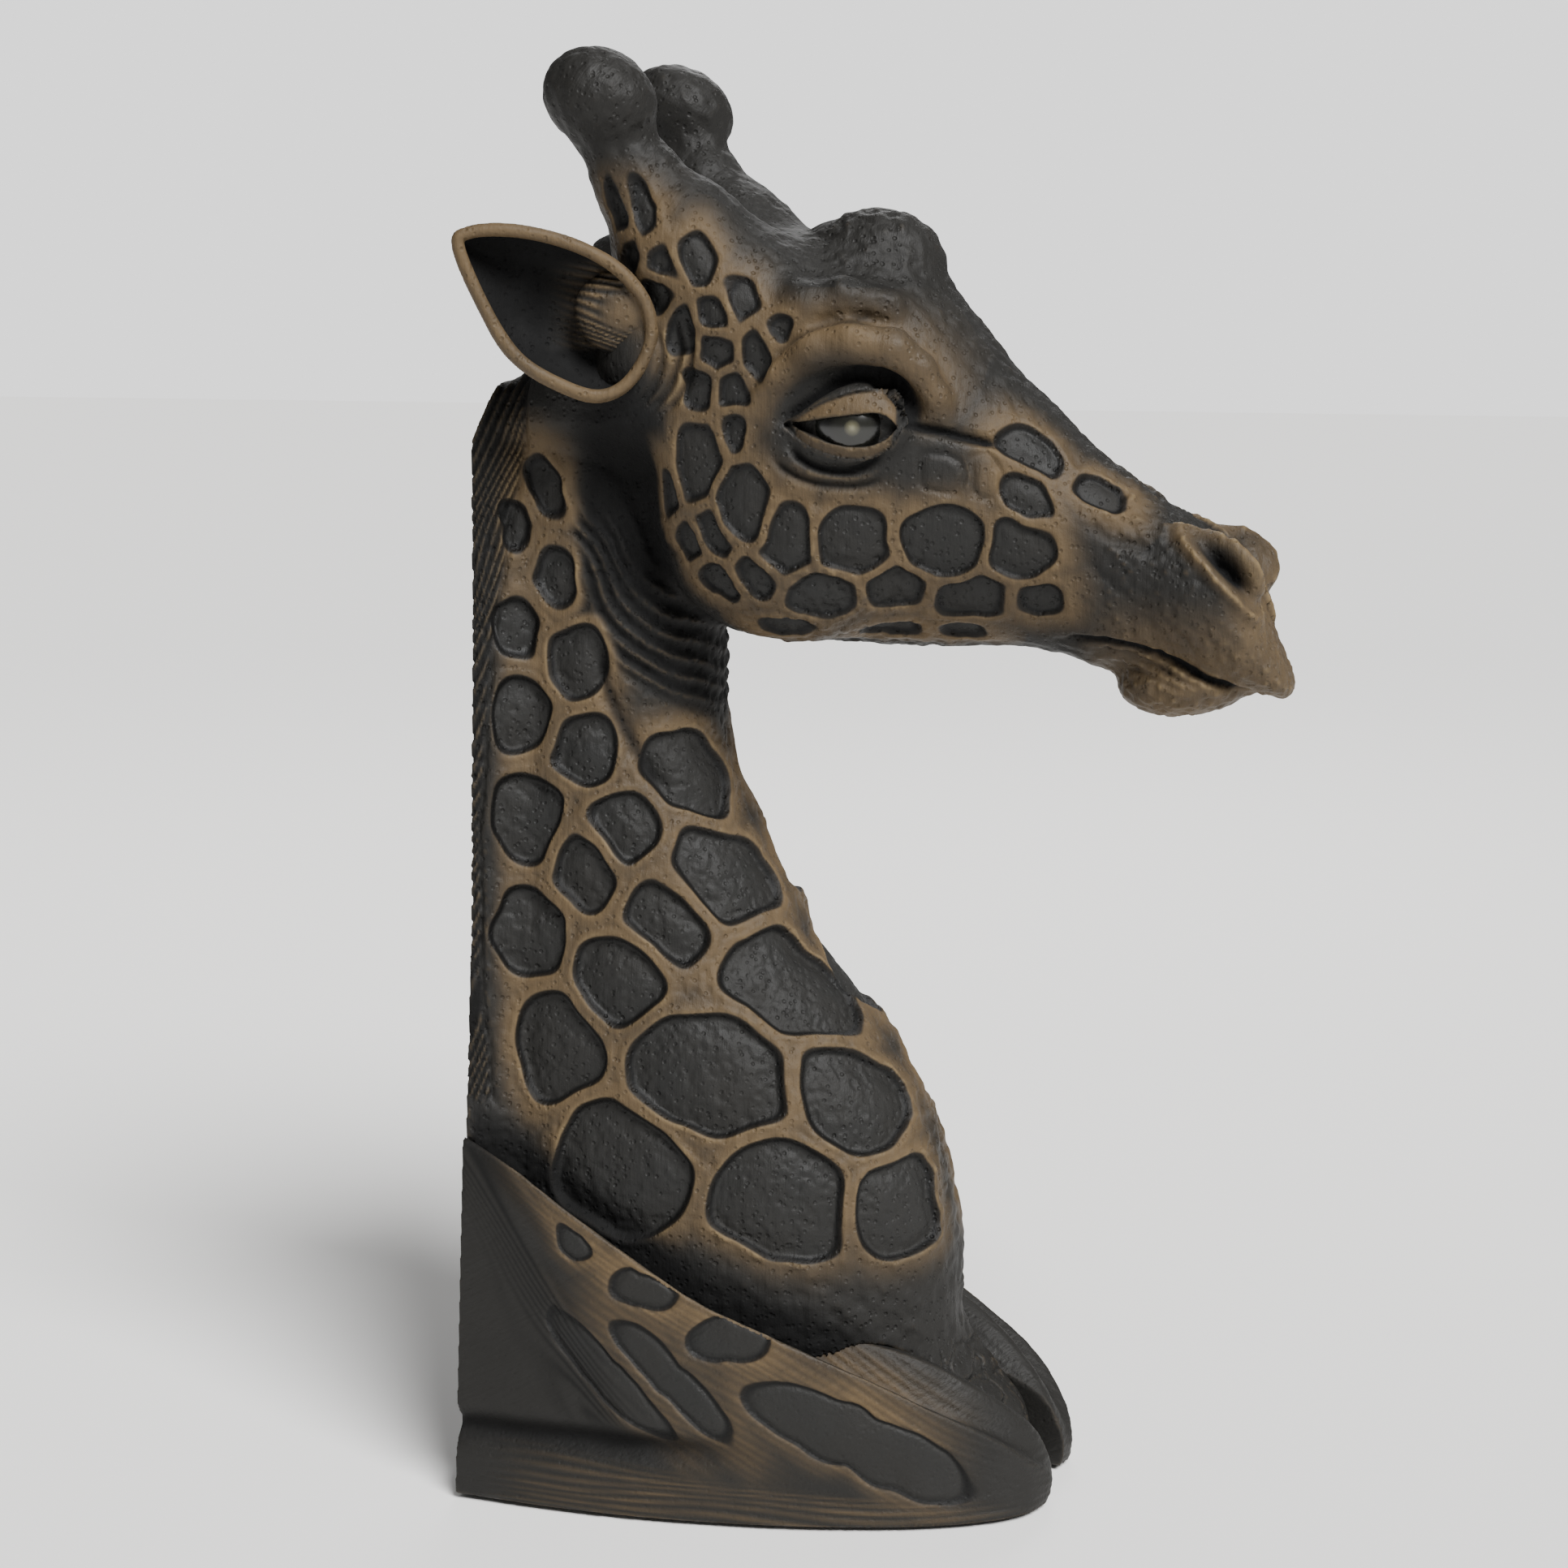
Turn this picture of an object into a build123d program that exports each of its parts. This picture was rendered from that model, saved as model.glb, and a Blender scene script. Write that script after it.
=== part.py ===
from build123d import *
import math
import os

# Carved giraffe bust with folded forelegs and a flat vertical back, all in mm.
# It faces +X, +Z is up, and the origin is on the floor under the middle of its box.

# driving dimensions
total_height = 350.0        # floor to the top of the horns
back_x = -96.0              # flat back
muzzle_x = 96.0             # tip of the upper lip
pad_thickness = 1.2         # felt under the base
pad_inset = 4.0             # felt edge back from the base edge
base_z = pad_thickness      # underside of the wood

# glue faces
cheek_back = 30.0           # half width of the core at the back, where the legs are glued on
cheek_front = 8.0           # and where the knees meet it
knee_x = 46.0               # foremost point of the knees
leg_top_back = 91.0         # height of the foreleg's upper edge at the back
shin_top_back = 17.0        # height of the folded shin at the back
shin_top_front = 4.0        # and under the knee
throat = (-40.0, 210.0)     # X, Z of the throat end of the neck joint
nape = (-96.0, 262.0)       # X, Z of the nape end of the neck joint

# joinery
tenon_diameter = 16.0       # loose round tenon between neck and head
tenon_length = 60.0
horn_dowel_diameter = 6.0
horn_dowel_length = 22.0
ear_peg_diameter = 4.0
ear_peg_length = 16.0
leg_dowel_diameter = 8.0
leg_dowel_length = 28.0
shin_dowel_diameter = 6.0
shin_dowel_length = 12.0

# paired features, given for the right side, which is -Y
eye_radius = 10.0
eye_centre = (-2.0, -26.5, 263.5)
horn_foot = (-33.0, -19.0, 284.0)
horn_top = (-66.5, -29.0, total_height - 2.1)
ear_root = (-50.0, -29.0, 278.0)
ear_sweep = 20.0            # degrees that the ear swings out towards its tip
ear_thickness = 11.0
ear_wall = 3.0


def node(part, label):
    # names one finished piece and writes its file
    part.label = label
    export_step(part, "parts/" + label + ".step")


def column_outline(front, half, back_half):
    # level section of the column: flat back edge, rounded front
    middle = back_x + 0.45 * (front - back_x)
    corner_x = middle + (front - middle) * math.cos(math.radians(45))
    corner_y = half * math.sin(math.radians(45))
    with BuildSketch() as outline:
        with BuildLine():
            back = Line((back_x, back_half), (back_x, -back_half))
            Spline(back @ 1, (middle, -half), (corner_x, -corner_y), (front, 0),
                   (corner_x, corner_y), (middle, half), back @ 0)
        make_face()
    return outline.sketch


def head_outline(top, bottom, half):
    # upright section of the head, sketched as (Y, Z): broad above, narrow at the jaw
    tall = top - bottom
    side = [(0.62 * half, top - 0.13 * tall), (half, top - 0.45 * tall),
            (0.72 * half, bottom + 0.16 * tall)]
    mirrored = [(-y, z) for y, z in reversed(side)]
    with BuildSketch() as outline:
        with BuildLine():
            Spline((0, top), *side, (0, bottom), *mirrored, periodic=True)
        make_face()
    return outline.sketch


def mirrored_part(part):
    # the left-hand twin of a right-hand piece
    with BuildPart() as twin:
        mirror(part, about=Plane.XZ)
    return twin.part


os.makedirs("parts", exist_ok=True)

# raw shapes that the pieces are cut from

# body, chest and neck as one upright column: height, front, half width, half width at the back
column_levels = [
    (base_z, 37.0, 40.0, 38.0),
    (28.0, 26.0, 40.0, 38.0),
    (60.0, 17.5, 41.0, 37.0),
    (84.0, 13.0, 40.0, 35.0),
    (105.0, 4.5, 38.0, 33.0),
    (130.0, -15.0, 34.0, 31.0),
    (158.0, -31.0, 30.0, 28.0),
    (188.0, -43.0, 27.0, 26.0),
    (222.0, -42.0, 26.0, 24.0),
    (264.0, -52.0, 24.0, 20.0),
]
with BuildPart() as column:
    for level, front, half, back_half in column_levels:
        with BuildSketch(Plane.XY.offset(level)):
            add(column_outline(front, half, back_half))
    loft()

# skull and muzzle: distance along X, top, underside, half width
head_stations = [
    (-91.0, 270.0, 255.0, 15.0),
    (-76.0, 286.0, 246.0, 23.0),
    (-60.0, 299.0, 236.0, 29.0),
    (-38.0, 305.0, 212.5, 33.0),
    (-12.0, 311.0, 210.5, 36.5),
    (6.0, 309.0, 209.5, 35.0),
    (20.0, 288.0, 210.0, 30.0),
    (42.0, 264.5, 209.0, 23.5),
    (62.0, 249.0, 197.5, 21.0),
    (78.0, 239.0, 197.5, 22.0),
    (89.0, 228.0, 201.0, 17.0),
    (muzzle_x, 211.0, 203.0, 7.0),
]
with BuildPart() as skull:
    for station, top, bottom, half in head_stations:
        with BuildSketch(Plane.YZ.offset(station)):
            add(head_outline(top, bottom, half))
    loft()

# plane of the neck joint, facing up and forward into the head
joint_slope = math.atan2(nape[1] - throat[1], throat[0] - nape[0])
joint_normal = (math.sin(joint_slope), 0, math.cos(joint_slope))
neck_joint = Plane(origin=(throat[0], 0, throat[1]), x_dir=(0, 1, 0), z_dir=joint_normal)

# plane on top of the folded shins
shin_slope = math.atan2(shin_top_back - shin_top_front, knee_x - back_x)
shin_joint = Plane(origin=(back_x, 0, shin_top_back), x_dir=(0, 1, 0),
                   z_dir=(math.sin(shin_slope), 0, math.cos(shin_slope)))

# leg blank: outer face bowed in plan, inner face flat against the core's cheek
with BuildPart() as leg_blank:
    with BuildSketch(Plane.XY.offset(base_z)):
        with BuildLine():
            cheek = Line((back_x, -cheek_back), (knee_x - 6, -cheek_front))
            Spline(cheek @ 1, (knee_x, -13.0), (knee_x - 10, -27.0), (8.0, -39.0),
                   (-28.0, -49.0), (-62.0, -52.5), (back_x, -51.0))
            Line((back_x, -51.0), cheek @ 0)
        make_face()
    extrude(amount=leg_top_back)
    with BuildSketch(Plane.XZ):
        with BuildLine():
            top_edge = Line((back_x, leg_top_back), (0, 40.5))
            knee = Spline(top_edge @ 1, (20.0, 32.5), (36.0, 21.0), (knee_x, 9.0),
                          (knee_x - 3, base_z))
            Polyline(knee @ 1, (back_x, base_z), (back_x, leg_top_back))
        make_face()
    extrude(amount=60, both=True, mode=Mode.INTERSECT)

# room that the two legs take out of the column, everything outside the cheeks
with BuildPart() as leg_room:
    with BuildSketch(Plane.XY.offset(base_z)):
        Polygon((back_x - 1, -cheek_back - 0.16), (knee_x - 6, -cheek_front), (knee_x + 9, -5.0),
                (knee_x + 9, -70.0), (back_x - 1, -70.0), align=None)
    extrude(amount=leg_top_back + 5)
    with BuildSketch(Plane.XZ):
        with BuildLine():
            room_edge = Line((back_x, leg_top_back), (0, 40.5))
            Spline(room_edge @ 1, (20.0, 32.5), (36.0, 21.0), (knee_x, 9.0), (knee_x - 3, base_z))
            Polyline((knee_x - 3, base_z), (back_x, base_z), (back_x, leg_top_back))
        make_face()
    extrude(amount=80, both=True, mode=Mode.INTERSECT)

# dowels, cut to length, which also cut their own holes
with BuildPart() as neck_tenon:
    with Locations(neck_joint.offset(0) * Pos(0, 37.0, 0)):
        Cylinder(tenon_diameter / 2, tenon_length)
    chamfer(neck_tenon.edges().filter_by(GeomType.CIRCLE), 1.0)

horn_line = Vector(*horn_top) - Vector(*horn_foot)
horn_length = horn_line.length
horn_plane = Plane(origin=horn_foot, z_dir=horn_line)
horn_side = horn_line.cross(Vector(0, 1, 0))
horn_profile_plane = Plane(origin=horn_foot, x_dir=horn_line.cross(horn_side), z_dir=horn_side)
with BuildPart() as horn_dowel_right:
    with Locations(horn_plane):
        Cylinder(horn_dowel_diameter / 2, horn_dowel_length)
horn_dowel_left = mirrored_part(horn_dowel_right.part)

sweep_angle = math.radians(ear_sweep)
ear_outward = Vector(math.sin(sweep_angle), -math.cos(sweep_angle), 0)
ear_plane = Plane(origin=Vector(*ear_root) + ear_outward * 5.5,
                  x_dir=(math.cos(sweep_angle), math.sin(sweep_angle), 0), z_dir=ear_outward)
with BuildPart() as ear_peg_right:
    with Locations(ear_plane.offset(-ear_thickness - 1.0)):
        Cylinder(ear_peg_diameter / 2, ear_peg_length)
ear_peg_left = mirrored_part(ear_peg_right.part)

# two dowels through each glued cheek, square to the flat back's centre plane
leg_dowel_spots = [(-74.0, 44.0), (-26.0, 34.0)]
with BuildPart() as leg_dowels:
    for spot_x, spot_z in leg_dowel_spots:
        reach = cheek_back - (spot_x - back_x) * (cheek_back - cheek_front) / (knee_x - 6 - back_x)
        for side in (-1, 1):
            with Locations(Plane(origin=(spot_x, side * reach, spot_z), z_dir=(0, side, 0))):
                Cylinder(leg_dowel_diameter / 2, leg_dowel_length)

shin_dowel_spots = [(-78.0, 41.0), (-8.0, 31.0)]
with BuildPart() as shin_dowels:
    for spot_x, spot_y in shin_dowel_spots:
        joint_z = shin_top_back - (spot_x - back_x) * math.tan(shin_slope)
        for side in (-1, 1):
            with Locations((spot_x, side * spot_y, joint_z)):
                Cylinder(shin_dowel_diameter / 2, shin_dowel_length)

# horns: revolved about their own leaning axis, housed in the skull
with BuildPart() as horn_right:
    with BuildSketch(horn_profile_plane):
        with BuildLine():
            side_curve = Spline((16.0, 0), (14.6, 16.0), (11.8, 33.0), (11.3, 45.0),
                                (13.6, horn_length - 13), (11.0, horn_length - 5), (0, horn_length))
            Polyline(side_curve @ 1, (0, 0), side_curve @ 0)
        make_face()
    revolve(axis=Axis(horn_foot, horn_line))
    add(horn_dowel_right.part, mode=Mode.SUBTRACT)

# ears: a leaf with a hollow, standing out from the side of the head
leaf = [(-2.0, 20.0), (3.2, 9.0), (-0.8, -5.0), (-11.0, -10.0), (-21.0, -7.5), (-33.0, 3.5),
        (-42.0, 18.0), (-43.0, 29.0), (-30.0, 30.3), (-16.0, 27.2)]
leaf_middle = (-16.0, 10.0)


def leaf_outline(size):
    # the ear's outline shrunk about its middle
    middle_x, middle_z = leaf_middle
    points = [(middle_x + size * (x - middle_x), middle_z + size * (z - middle_z)) for x, z in leaf]
    with BuildSketch() as outline:
        with BuildLine():
            Spline(*points, periodic=True)
        make_face()
    return outline.sketch


with BuildPart() as ear_right:
    for depth, size in ((ear_thickness, 0.55), (0.6 * ear_thickness, 0.88), (0, 1.0)):
        with BuildSketch(ear_plane.offset(-depth)):
            add(leaf_outline(size))
    loft()
    for depth, size in ((-0.5, 0.88), (0.45 * ear_thickness, 0.68), (ear_thickness - ear_wall, 0.3)):
        with BuildSketch(ear_plane.offset(-depth)):
            add(leaf_outline(size))
    loft(mode=Mode.SUBTRACT)
    add(horn_right.part, mode=Mode.SUBTRACT)
    add(ear_peg_right.part, mode=Mode.SUBTRACT)

# eyes: inset polished balls
with BuildPart() as eye_right:
    with Locations(eye_centre):
        Sphere(eye_radius)
eye_left = mirrored_part(eye_right.part)

# head: skull joined to the stub of neck above the joint, with its sockets
with BuildPart() as head:
    add(column.part)
    add(skull.part)
    split(bisect_by=neck_joint, keep=Keep.TOP)
    add(neck_tenon.part, mode=Mode.SUBTRACT)
    for piece in (horn_right.part, eye_right.part, ear_right.part,
                  horn_dowel_right.part, ear_peg_right.part):
        add(piece, mode=Mode.SUBTRACT)
        add(mirrored_part(piece), mode=Mode.SUBTRACT)
horn_left = mirrored_part(horn_right.part)
ear_left = mirrored_part(ear_right.part)

# neck and chest: the upright core
with BuildPart() as neck_and_chest:
    add(column.part)
    split(bisect_by=neck_joint, keep=Keep.BOTTOM)
    add(leg_room.part, mode=Mode.SUBTRACT)
    mirror(leg_room.part, about=Plane.XZ, mode=Mode.SUBTRACT)
    add(neck_tenon.part, mode=Mode.SUBTRACT)
    add(leg_dowels.part, mode=Mode.SUBTRACT)

# folded forelegs
with BuildPart() as foreleg_right:
    add(leg_blank.part)
    split(bisect_by=shin_joint, keep=Keep.TOP)
    add(leg_dowels.part, mode=Mode.SUBTRACT)
    add(shin_dowels.part, mode=Mode.SUBTRACT)
foreleg_left = mirrored_part(foreleg_right.part)

with BuildPart() as shin_right:
    add(leg_blank.part)
    split(bisect_by=shin_joint, keep=Keep.BOTTOM)
    add(shin_dowels.part, mode=Mode.SUBTRACT)
shin_left = mirrored_part(shin_right.part)

# felt under the base
with BuildPart() as felt_pad:
    with BuildSketch():
        with BuildLine():
            Polyline((back_x + pad_inset, 0), (back_x + pad_inset, -46.0), (-62.0, -48.0),
                     (-28.0, -44.5), (6.0, -34.0), (knee_x - 13, -20.0), (knee_x - 13, 0), close=True)
        make_face()
        mirror(about=Plane.XZ)
    extrude(amount=pad_thickness)

# finished pieces
node(neck_and_chest.part, "neck_and_chest")
node(head.part, "head")
node(neck_tenon.part, "neck_tenon")
node(horn_right.part, "horn_right")
node(horn_left, "horn_left")
node(horn_dowel_right.part, "horn_dowel_right")
node(horn_dowel_left, "horn_dowel_left")
node(ear_right.part, "ear_right")
node(ear_left, "ear_left")
node(ear_peg_right.part, "ear_peg_right")
node(ear_peg_left, "ear_peg_left")
node(eye_right.part, "eye_right")
node(eye_left, "eye_left")
node(foreleg_right.part, "foreleg_right")
node(foreleg_left, "foreleg_left")
node(leg_dowels.part, "leg_dowels")
node(shin_right.part, "shin_right")
node(shin_left, "shin_left")
node(shin_dowels.part, "shin_dowels")
node(felt_pad.part, "felt_pad")
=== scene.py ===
import bmesh
import bpy
import math
import numpy as np
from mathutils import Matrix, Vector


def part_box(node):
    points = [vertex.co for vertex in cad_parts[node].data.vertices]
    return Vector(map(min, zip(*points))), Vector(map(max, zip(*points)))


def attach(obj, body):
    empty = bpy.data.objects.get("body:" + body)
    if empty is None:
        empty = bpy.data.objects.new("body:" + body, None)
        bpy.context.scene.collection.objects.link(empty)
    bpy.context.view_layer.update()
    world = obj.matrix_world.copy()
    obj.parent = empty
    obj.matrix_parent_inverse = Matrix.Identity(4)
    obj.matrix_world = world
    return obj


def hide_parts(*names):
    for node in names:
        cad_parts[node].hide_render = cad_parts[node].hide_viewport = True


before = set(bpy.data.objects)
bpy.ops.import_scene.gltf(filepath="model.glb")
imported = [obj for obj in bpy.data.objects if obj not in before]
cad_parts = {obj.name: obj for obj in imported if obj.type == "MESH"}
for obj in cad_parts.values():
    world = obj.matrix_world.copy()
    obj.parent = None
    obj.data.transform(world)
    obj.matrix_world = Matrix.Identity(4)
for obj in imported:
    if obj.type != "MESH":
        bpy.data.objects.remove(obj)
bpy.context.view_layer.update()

import openvdb
from mathutils import Matrix, Vector

# A carved giraffe bust with folded forelegs. It faces +X and is symmetric about Y = 0.
# Sculpting is done in millimetres on distance fields, and each mesh is scaled to metres when it is made.
# A field is negative inside the wood, and its value is about the distance to the surface.

mm = 0.001
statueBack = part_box("neck_and_chest")[0][0] / mm      # the flat back
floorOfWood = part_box("neck_and_chest")[0][2] / mm     # underside of the wood, on its felt


def mix(a, b, t):
    return a + (b - a) * t


def ramp(value, low, high):
    t = np.clip((value - low) / (high - low), 0.0, 1.0)
    return t * t * (3.0 - 2.0 * t)


def joinSoft(a, b, soft):
    h = np.clip(0.5 + 0.5 * (b - a) / soft, 0.0, 1.0)
    return b + (a - b) * h - soft * h * (1.0 - h)


def cutSoft(a, b, soft):
    return -joinSoft(-a, b, soft)


def keepSoft(a, b, soft):
    return -joinSoft(-a, -b, soft)


def curveThrough(points, at):
    # a smooth curve through given points, level beyond its ends
    xs = np.array([p[0] for p in points], dtype=np.float64)
    ys = np.array([p[1] for p in points], dtype=np.float64)
    slopes = np.gradient(ys, xs)
    at = np.clip(np.asarray(at, dtype=np.float64), xs[0], xs[-1])
    i = np.clip(np.searchsorted(xs, at) - 1, 0, len(xs) - 2)
    gap = xs[i + 1] - xs[i]
    t = (at - xs[i]) / gap
    a = (1 + 2 * t) * (1 - t) ** 2
    b = t * (1 - t) ** 2
    c = t * t * (3 - 2 * t)
    d = t * t * (t - 1)
    return (a * ys[i] + b * gap * slopes[i] + c * ys[i + 1] + d * gap * slopes[i + 1]).astype(np.float32)


def ball(p, centre, radii, pitch=0.0):
    # an ellipsoid; pitch lifts its front end, in degrees
    x, y, z = (p[i] - centre[i] for i in range(3))
    a = math.radians(pitch)
    x, z = x * math.cos(a) + z * math.sin(a), z * math.cos(a) - x * math.sin(a)
    size = np.sqrt((x / radii[0]) ** 2 + (y / radii[1]) ** 2 + (z / radii[2]) ** 2)
    return (size - 1.0) * min(radii)


def rod(p, start, end, startRadius, endRadius):
    axis = np.array(end, dtype=np.float32) - np.array(start, dtype=np.float32)
    x, y, z = (p[i] - start[i] for i in range(3))
    t = np.clip((x * axis[0] + y * axis[1] + z * axis[2]) / float(axis @ axis), 0.0, 1.0)
    away = np.sqrt((x - t * axis[0]) ** 2 + (y - t * axis[1]) ** 2 + (z - t * axis[2]) ** 2)
    return away - mix(startRadius, endRadius, t)


def rope(p, points, radii, soft):
    # rods joined end to end
    result = None
    for i in range(len(points) - 1):
        link = rod(p, points[i], points[i + 1], radii[i], radii[i + 1])
        result = link if result is None else joinSoft(result, link, soft)
    return result


def axesOf(low, high, step):
    x, y, z = (np.arange(low[i], high[i] + step, step, dtype=np.float32) for i in range(3))
    return x[:, None, None], y[None, :, None], z[None, None, :]


def touch(field, p, low, high, change):
    # applies a change to the part of a field inside a box, which keeps small features quick
    spans = []
    for axis in range(3):
        values = p[axis].ravel()
        spans.append(slice(*np.searchsorted(values, (low[axis], high[axis]))))
    part = (p[0][spans[0]], p[1][:, spans[1]], p[2][:, :, spans[2]])
    field[spans[0], spans[1], spans[2]] = change(field[spans[0], spans[1], spans[2]], part)


def skinOf(field, low, step):
    # turns a field into points in mm and quads that face outwards
    band = 3.0 * step
    grid = openvdb.FloatGrid(band)
    grid.copyFromArray(np.clip(field, -band, band).astype(np.float32))
    points, quads = grid.convertToQuads(0.0)
    points = np.asarray(points, dtype=np.float32) * step + np.array(low, dtype=np.float32)
    quads = np.asarray(quads, dtype=np.int64)
    a, b, c = (points[quads[:, i]] for i in (0, 1, 2))
    if float(np.einsum("ij,ij->i", a, np.cross(b, c)).sum()) < 0:
        quads = quads[:, ::-1]
    return points, quads


def normalsOf(points, quads):
    a, b, c, d = (points[quads[:, i]] for i in range(4))
    face = np.cross(c - a, d - b)
    normals = np.zeros_like(points)
    for i in range(4):
        for axis in range(3):
            normals[:, axis] += np.bincount(quads[:, i], face[:, axis], len(points))
    return normals / np.maximum(np.linalg.norm(normals, axis=1, keepdims=True), 1e-9)


def evened(points, quads, values, rounds):
    # averages values over neighbouring points
    edges = np.concatenate([quads[:, [i, (i + 1) % 4]] for i in range(4)])
    count = sum(np.bincount(edges[:, i], minlength=len(points)) for i in (0, 1))
    for _ in range(rounds):
        total = np.bincount(edges[:, 0], values[edges[:, 1]], len(points))
        total += np.bincount(edges[:, 1], values[edges[:, 0]], len(points))
        values = 0.5 * values + 0.5 * total / np.maximum(count, 1)
    return values


def lattice(seed):
    return np.random.default_rng(seed).random((64, 64, 64), dtype=np.float32)


def cloud(points, size, seed):
    # smooth noise from 0 to 1 with lumps about size mm across; size may differ by axis
    table = lattice(seed)
    q = points / np.array(size, dtype=np.float32) + 31.7
    base = np.floor(q).astype(np.int64)
    f = (q - base).astype(np.float32)
    f = f * f * (3 - 2 * f)
    total = 0
    for dx in (0, 1):
        for dy in (0, 1):
            for dz in (0, 1):
                w = (f[:, 0] if dx else 1 - f[:, 0]) * (f[:, 1] if dy else 1 - f[:, 1])
                w = w * (f[:, 2] if dz else 1 - f[:, 2])
                cell = (base + (dx, dy, dz)) % 64
                total = total + w * table[cell[:, 0], cell[:, 1], cell[:, 2]]
    return total


def nearLine(points, line, reach):
    # distance in mm from a line of (x, z) points drawn on the side of the carving, and how far along it
    x, z = points[:, 0], points[:, 2]
    best = np.full(len(points), reach * 2, dtype=np.float32)
    along = np.zeros(len(points), dtype=np.float32)
    knots = np.linspace(0, len(line) - 1, 5 * (len(line) - 1) + 1)
    lx = curveThrough([(i, p[0]) for i, p in enumerate(line)], knots)
    lz = curveThrough([(i, p[1]) for i, p in enumerate(line)], knots)
    beside = (x > lx.min() - reach) & (x < lx.max() + reach)
    who = np.nonzero(beside & (z > lz.min() - reach) & (z < lz.max() + reach))[0]
    for i in range(len(knots) - 1):
        dx, dz = lx[i + 1] - lx[i], lz[i + 1] - lz[i]
        t = np.clip(((x[who] - lx[i]) * dx + (z[who] - lz[i]) * dz) / (dx * dx + dz * dz + 1e-9), 0, 1)
        away = np.hypot(x[who] - lx[i] - t * dx, z[who] - lz[i] - t * dz)
        closer = away < best[who]
        best[who[closer]] = away[closer]
        along[who[closer]] = (i + t[closer]) / (len(knots) - 1)
    return best, along


def groove(points, line, width, depth, taper=0.22):
    # a cut that fades out at both ends, as a depth in mm for every point
    away, along = nearLine(points, line, width * 2)
    ends = ramp(along, 0, taper) * ramp(1 - along, 0, taper)
    return depth * np.exp(-(away / (0.5 * width)) ** 2) * ends


def combed(points, direction, pitch, seed, wander=1.0):
    # parallel hair-like cuts along a direction in the side view: 0 in a cut, 1 on a strand
    dx, dz = direction
    length = math.hypot(dx, dz)
    across = (points[:, 0] * dz - points[:, 2] * dx) / length
    along = (points[:, 0] * dx + points[:, 2] * dz) / length
    spot = np.stack([across, along, points[:, 1]], axis=1)
    shift = wander * (cloud(spot, (4 * pitch, 22 * pitch, 30), seed) - 0.5) * 4
    wave = 0.5 + 0.5 * np.sin(2 * math.pi * (across / pitch + shift))
    broken = cloud(spot, (1.3 * pitch, 9 * pitch, 12), seed + 1)
    return wave * (0.6 + 0.4 * broken)


def onRight(vectors, points):
    # vectors at the left side's points, mirrored to the right side
    return vectors * np.where(points[:, 1:2] > 0, [[1, -1, 1]], [[1, 1, 1]]).astype(np.float32)


def cellsOn(points, normals, cells, net, grow=0.0, rounding=2.0):
    # distance in mm to the nearest carved cell, negative inside one
    # each cell grows until a net of ridges stands between it and its neighbours, with its corners rounded
    nearest = np.full(len(points), 99.0, dtype=np.float32)
    second = np.full(len(points), 99.0, dtype=np.float32)
    right, rightNormals = onRight(points, points), onRight(normals, points)
    wobble = cloud(right, 5.5, 11) - 0.5
    for number, (x, z, halfWide, halfTall, tilt) in enumerate(cells):
        halfWide, halfTall = halfWide + grow, halfTall + grow
        size = max(halfWide, halfTall)
        column = np.nonzero((np.abs(right[:, 0] - x) < 1.8) & (np.abs(right[:, 2] - z) < 1.8))[0]
        outermost = right[column, 1].min()
        seat = column[right[column, 1] < outermost + 1.5]
        centre = right[seat].mean(axis=0)
        gap = right - centre
        close = np.nonzero((gap ** 2).sum(axis=1) < (1.7 * size + 5) ** 2)[0]
        facing = rightNormals[close][(gap[close] ** 2).sum(axis=1) < (0.6 * size + 1) ** 2].mean(axis=0)
        facing = facing / np.linalg.norm(facing)
        level = np.cross([0, 0, 1], facing)
        level = level / np.linalg.norm(level) * (1 if np.cross([0, 0, 1], facing)[0] > 0 else -1)
        upward = np.cross(facing, level)
        upward = upward * (1 if upward[2] > 0 else -1)
        u, v = gap[close] @ level, gap[close] @ upward
        c, s = math.cos(math.radians(tilt)), math.sin(math.radians(tilt))
        u, v = u * c + v * s, v * c - u * s
        turn = np.arctan2(v, u)
        uneven = 1.0 + 0.05 * np.sin(3 * turn + 1.7 * number) + 0.04 * np.sin(5 * turn + 2.3 * number)
        edge = ((np.abs(u) / halfWide) ** 2.5 + (np.abs(v) / halfTall) ** 2.5) ** 0.4 / uneven - 1.0
        edge = edge * min(halfWide, halfTall) + 1.0 * wobble[close]
        edge = np.where(rightNormals[close] @ facing > -0.2, edge, 99.0)
        old = nearest[close]
        second[close] = joinSoft(np.maximum(edge, old), second[close], rounding)
        nearest[close] = np.minimum(edge, old)
    return keepSoft(nearest, 0.5 * net - 0.5 * (second - nearest), 0.6 * rounding)


def carveCells(edge, depth, wall, pillow, spread):
    # steep wall just inside the edge, floor swelling back up towards the middle, lip just outside
    cut = depth * ramp(-edge, -0.15, wall)
    cut = cut - pillow * ramp(-edge, wall, wall + spread)
    return cut - 0.22 * np.exp(-((edge - 0.9) / 0.7) ** 2)


def linked(name, data):
    # a new object in the scene
    obj = bpy.data.objects.new(name, data)
    bpy.context.collection.objects.link(obj)
    return obj


def makeObject(name, points, quads, layers):
    mesh = bpy.data.meshes.new(name)
    mesh.vertices.add(len(points))
    mesh.vertices.foreach_set("co", (np.asarray(points, dtype=np.float32) * mm).ravel())
    mesh.loops.add(quads.size)
    mesh.loops.foreach_set("vertex_index", quads.astype(np.int32).ravel())
    mesh.polygons.add(len(quads))
    mesh.polygons.foreach_set("loop_start", np.arange(0, quads.size, 4, dtype=np.int32))
    mesh.polygons.foreach_set("use_smooth", np.ones(len(quads), dtype=bool))
    mesh.update(calc_edges=True)
    for key, values in layers.items():
        mesh.attributes.new(key, "FLOAT", "POINT").data.foreach_set("value", values.astype(np.float32))
    return linked(name, mesh)


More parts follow.
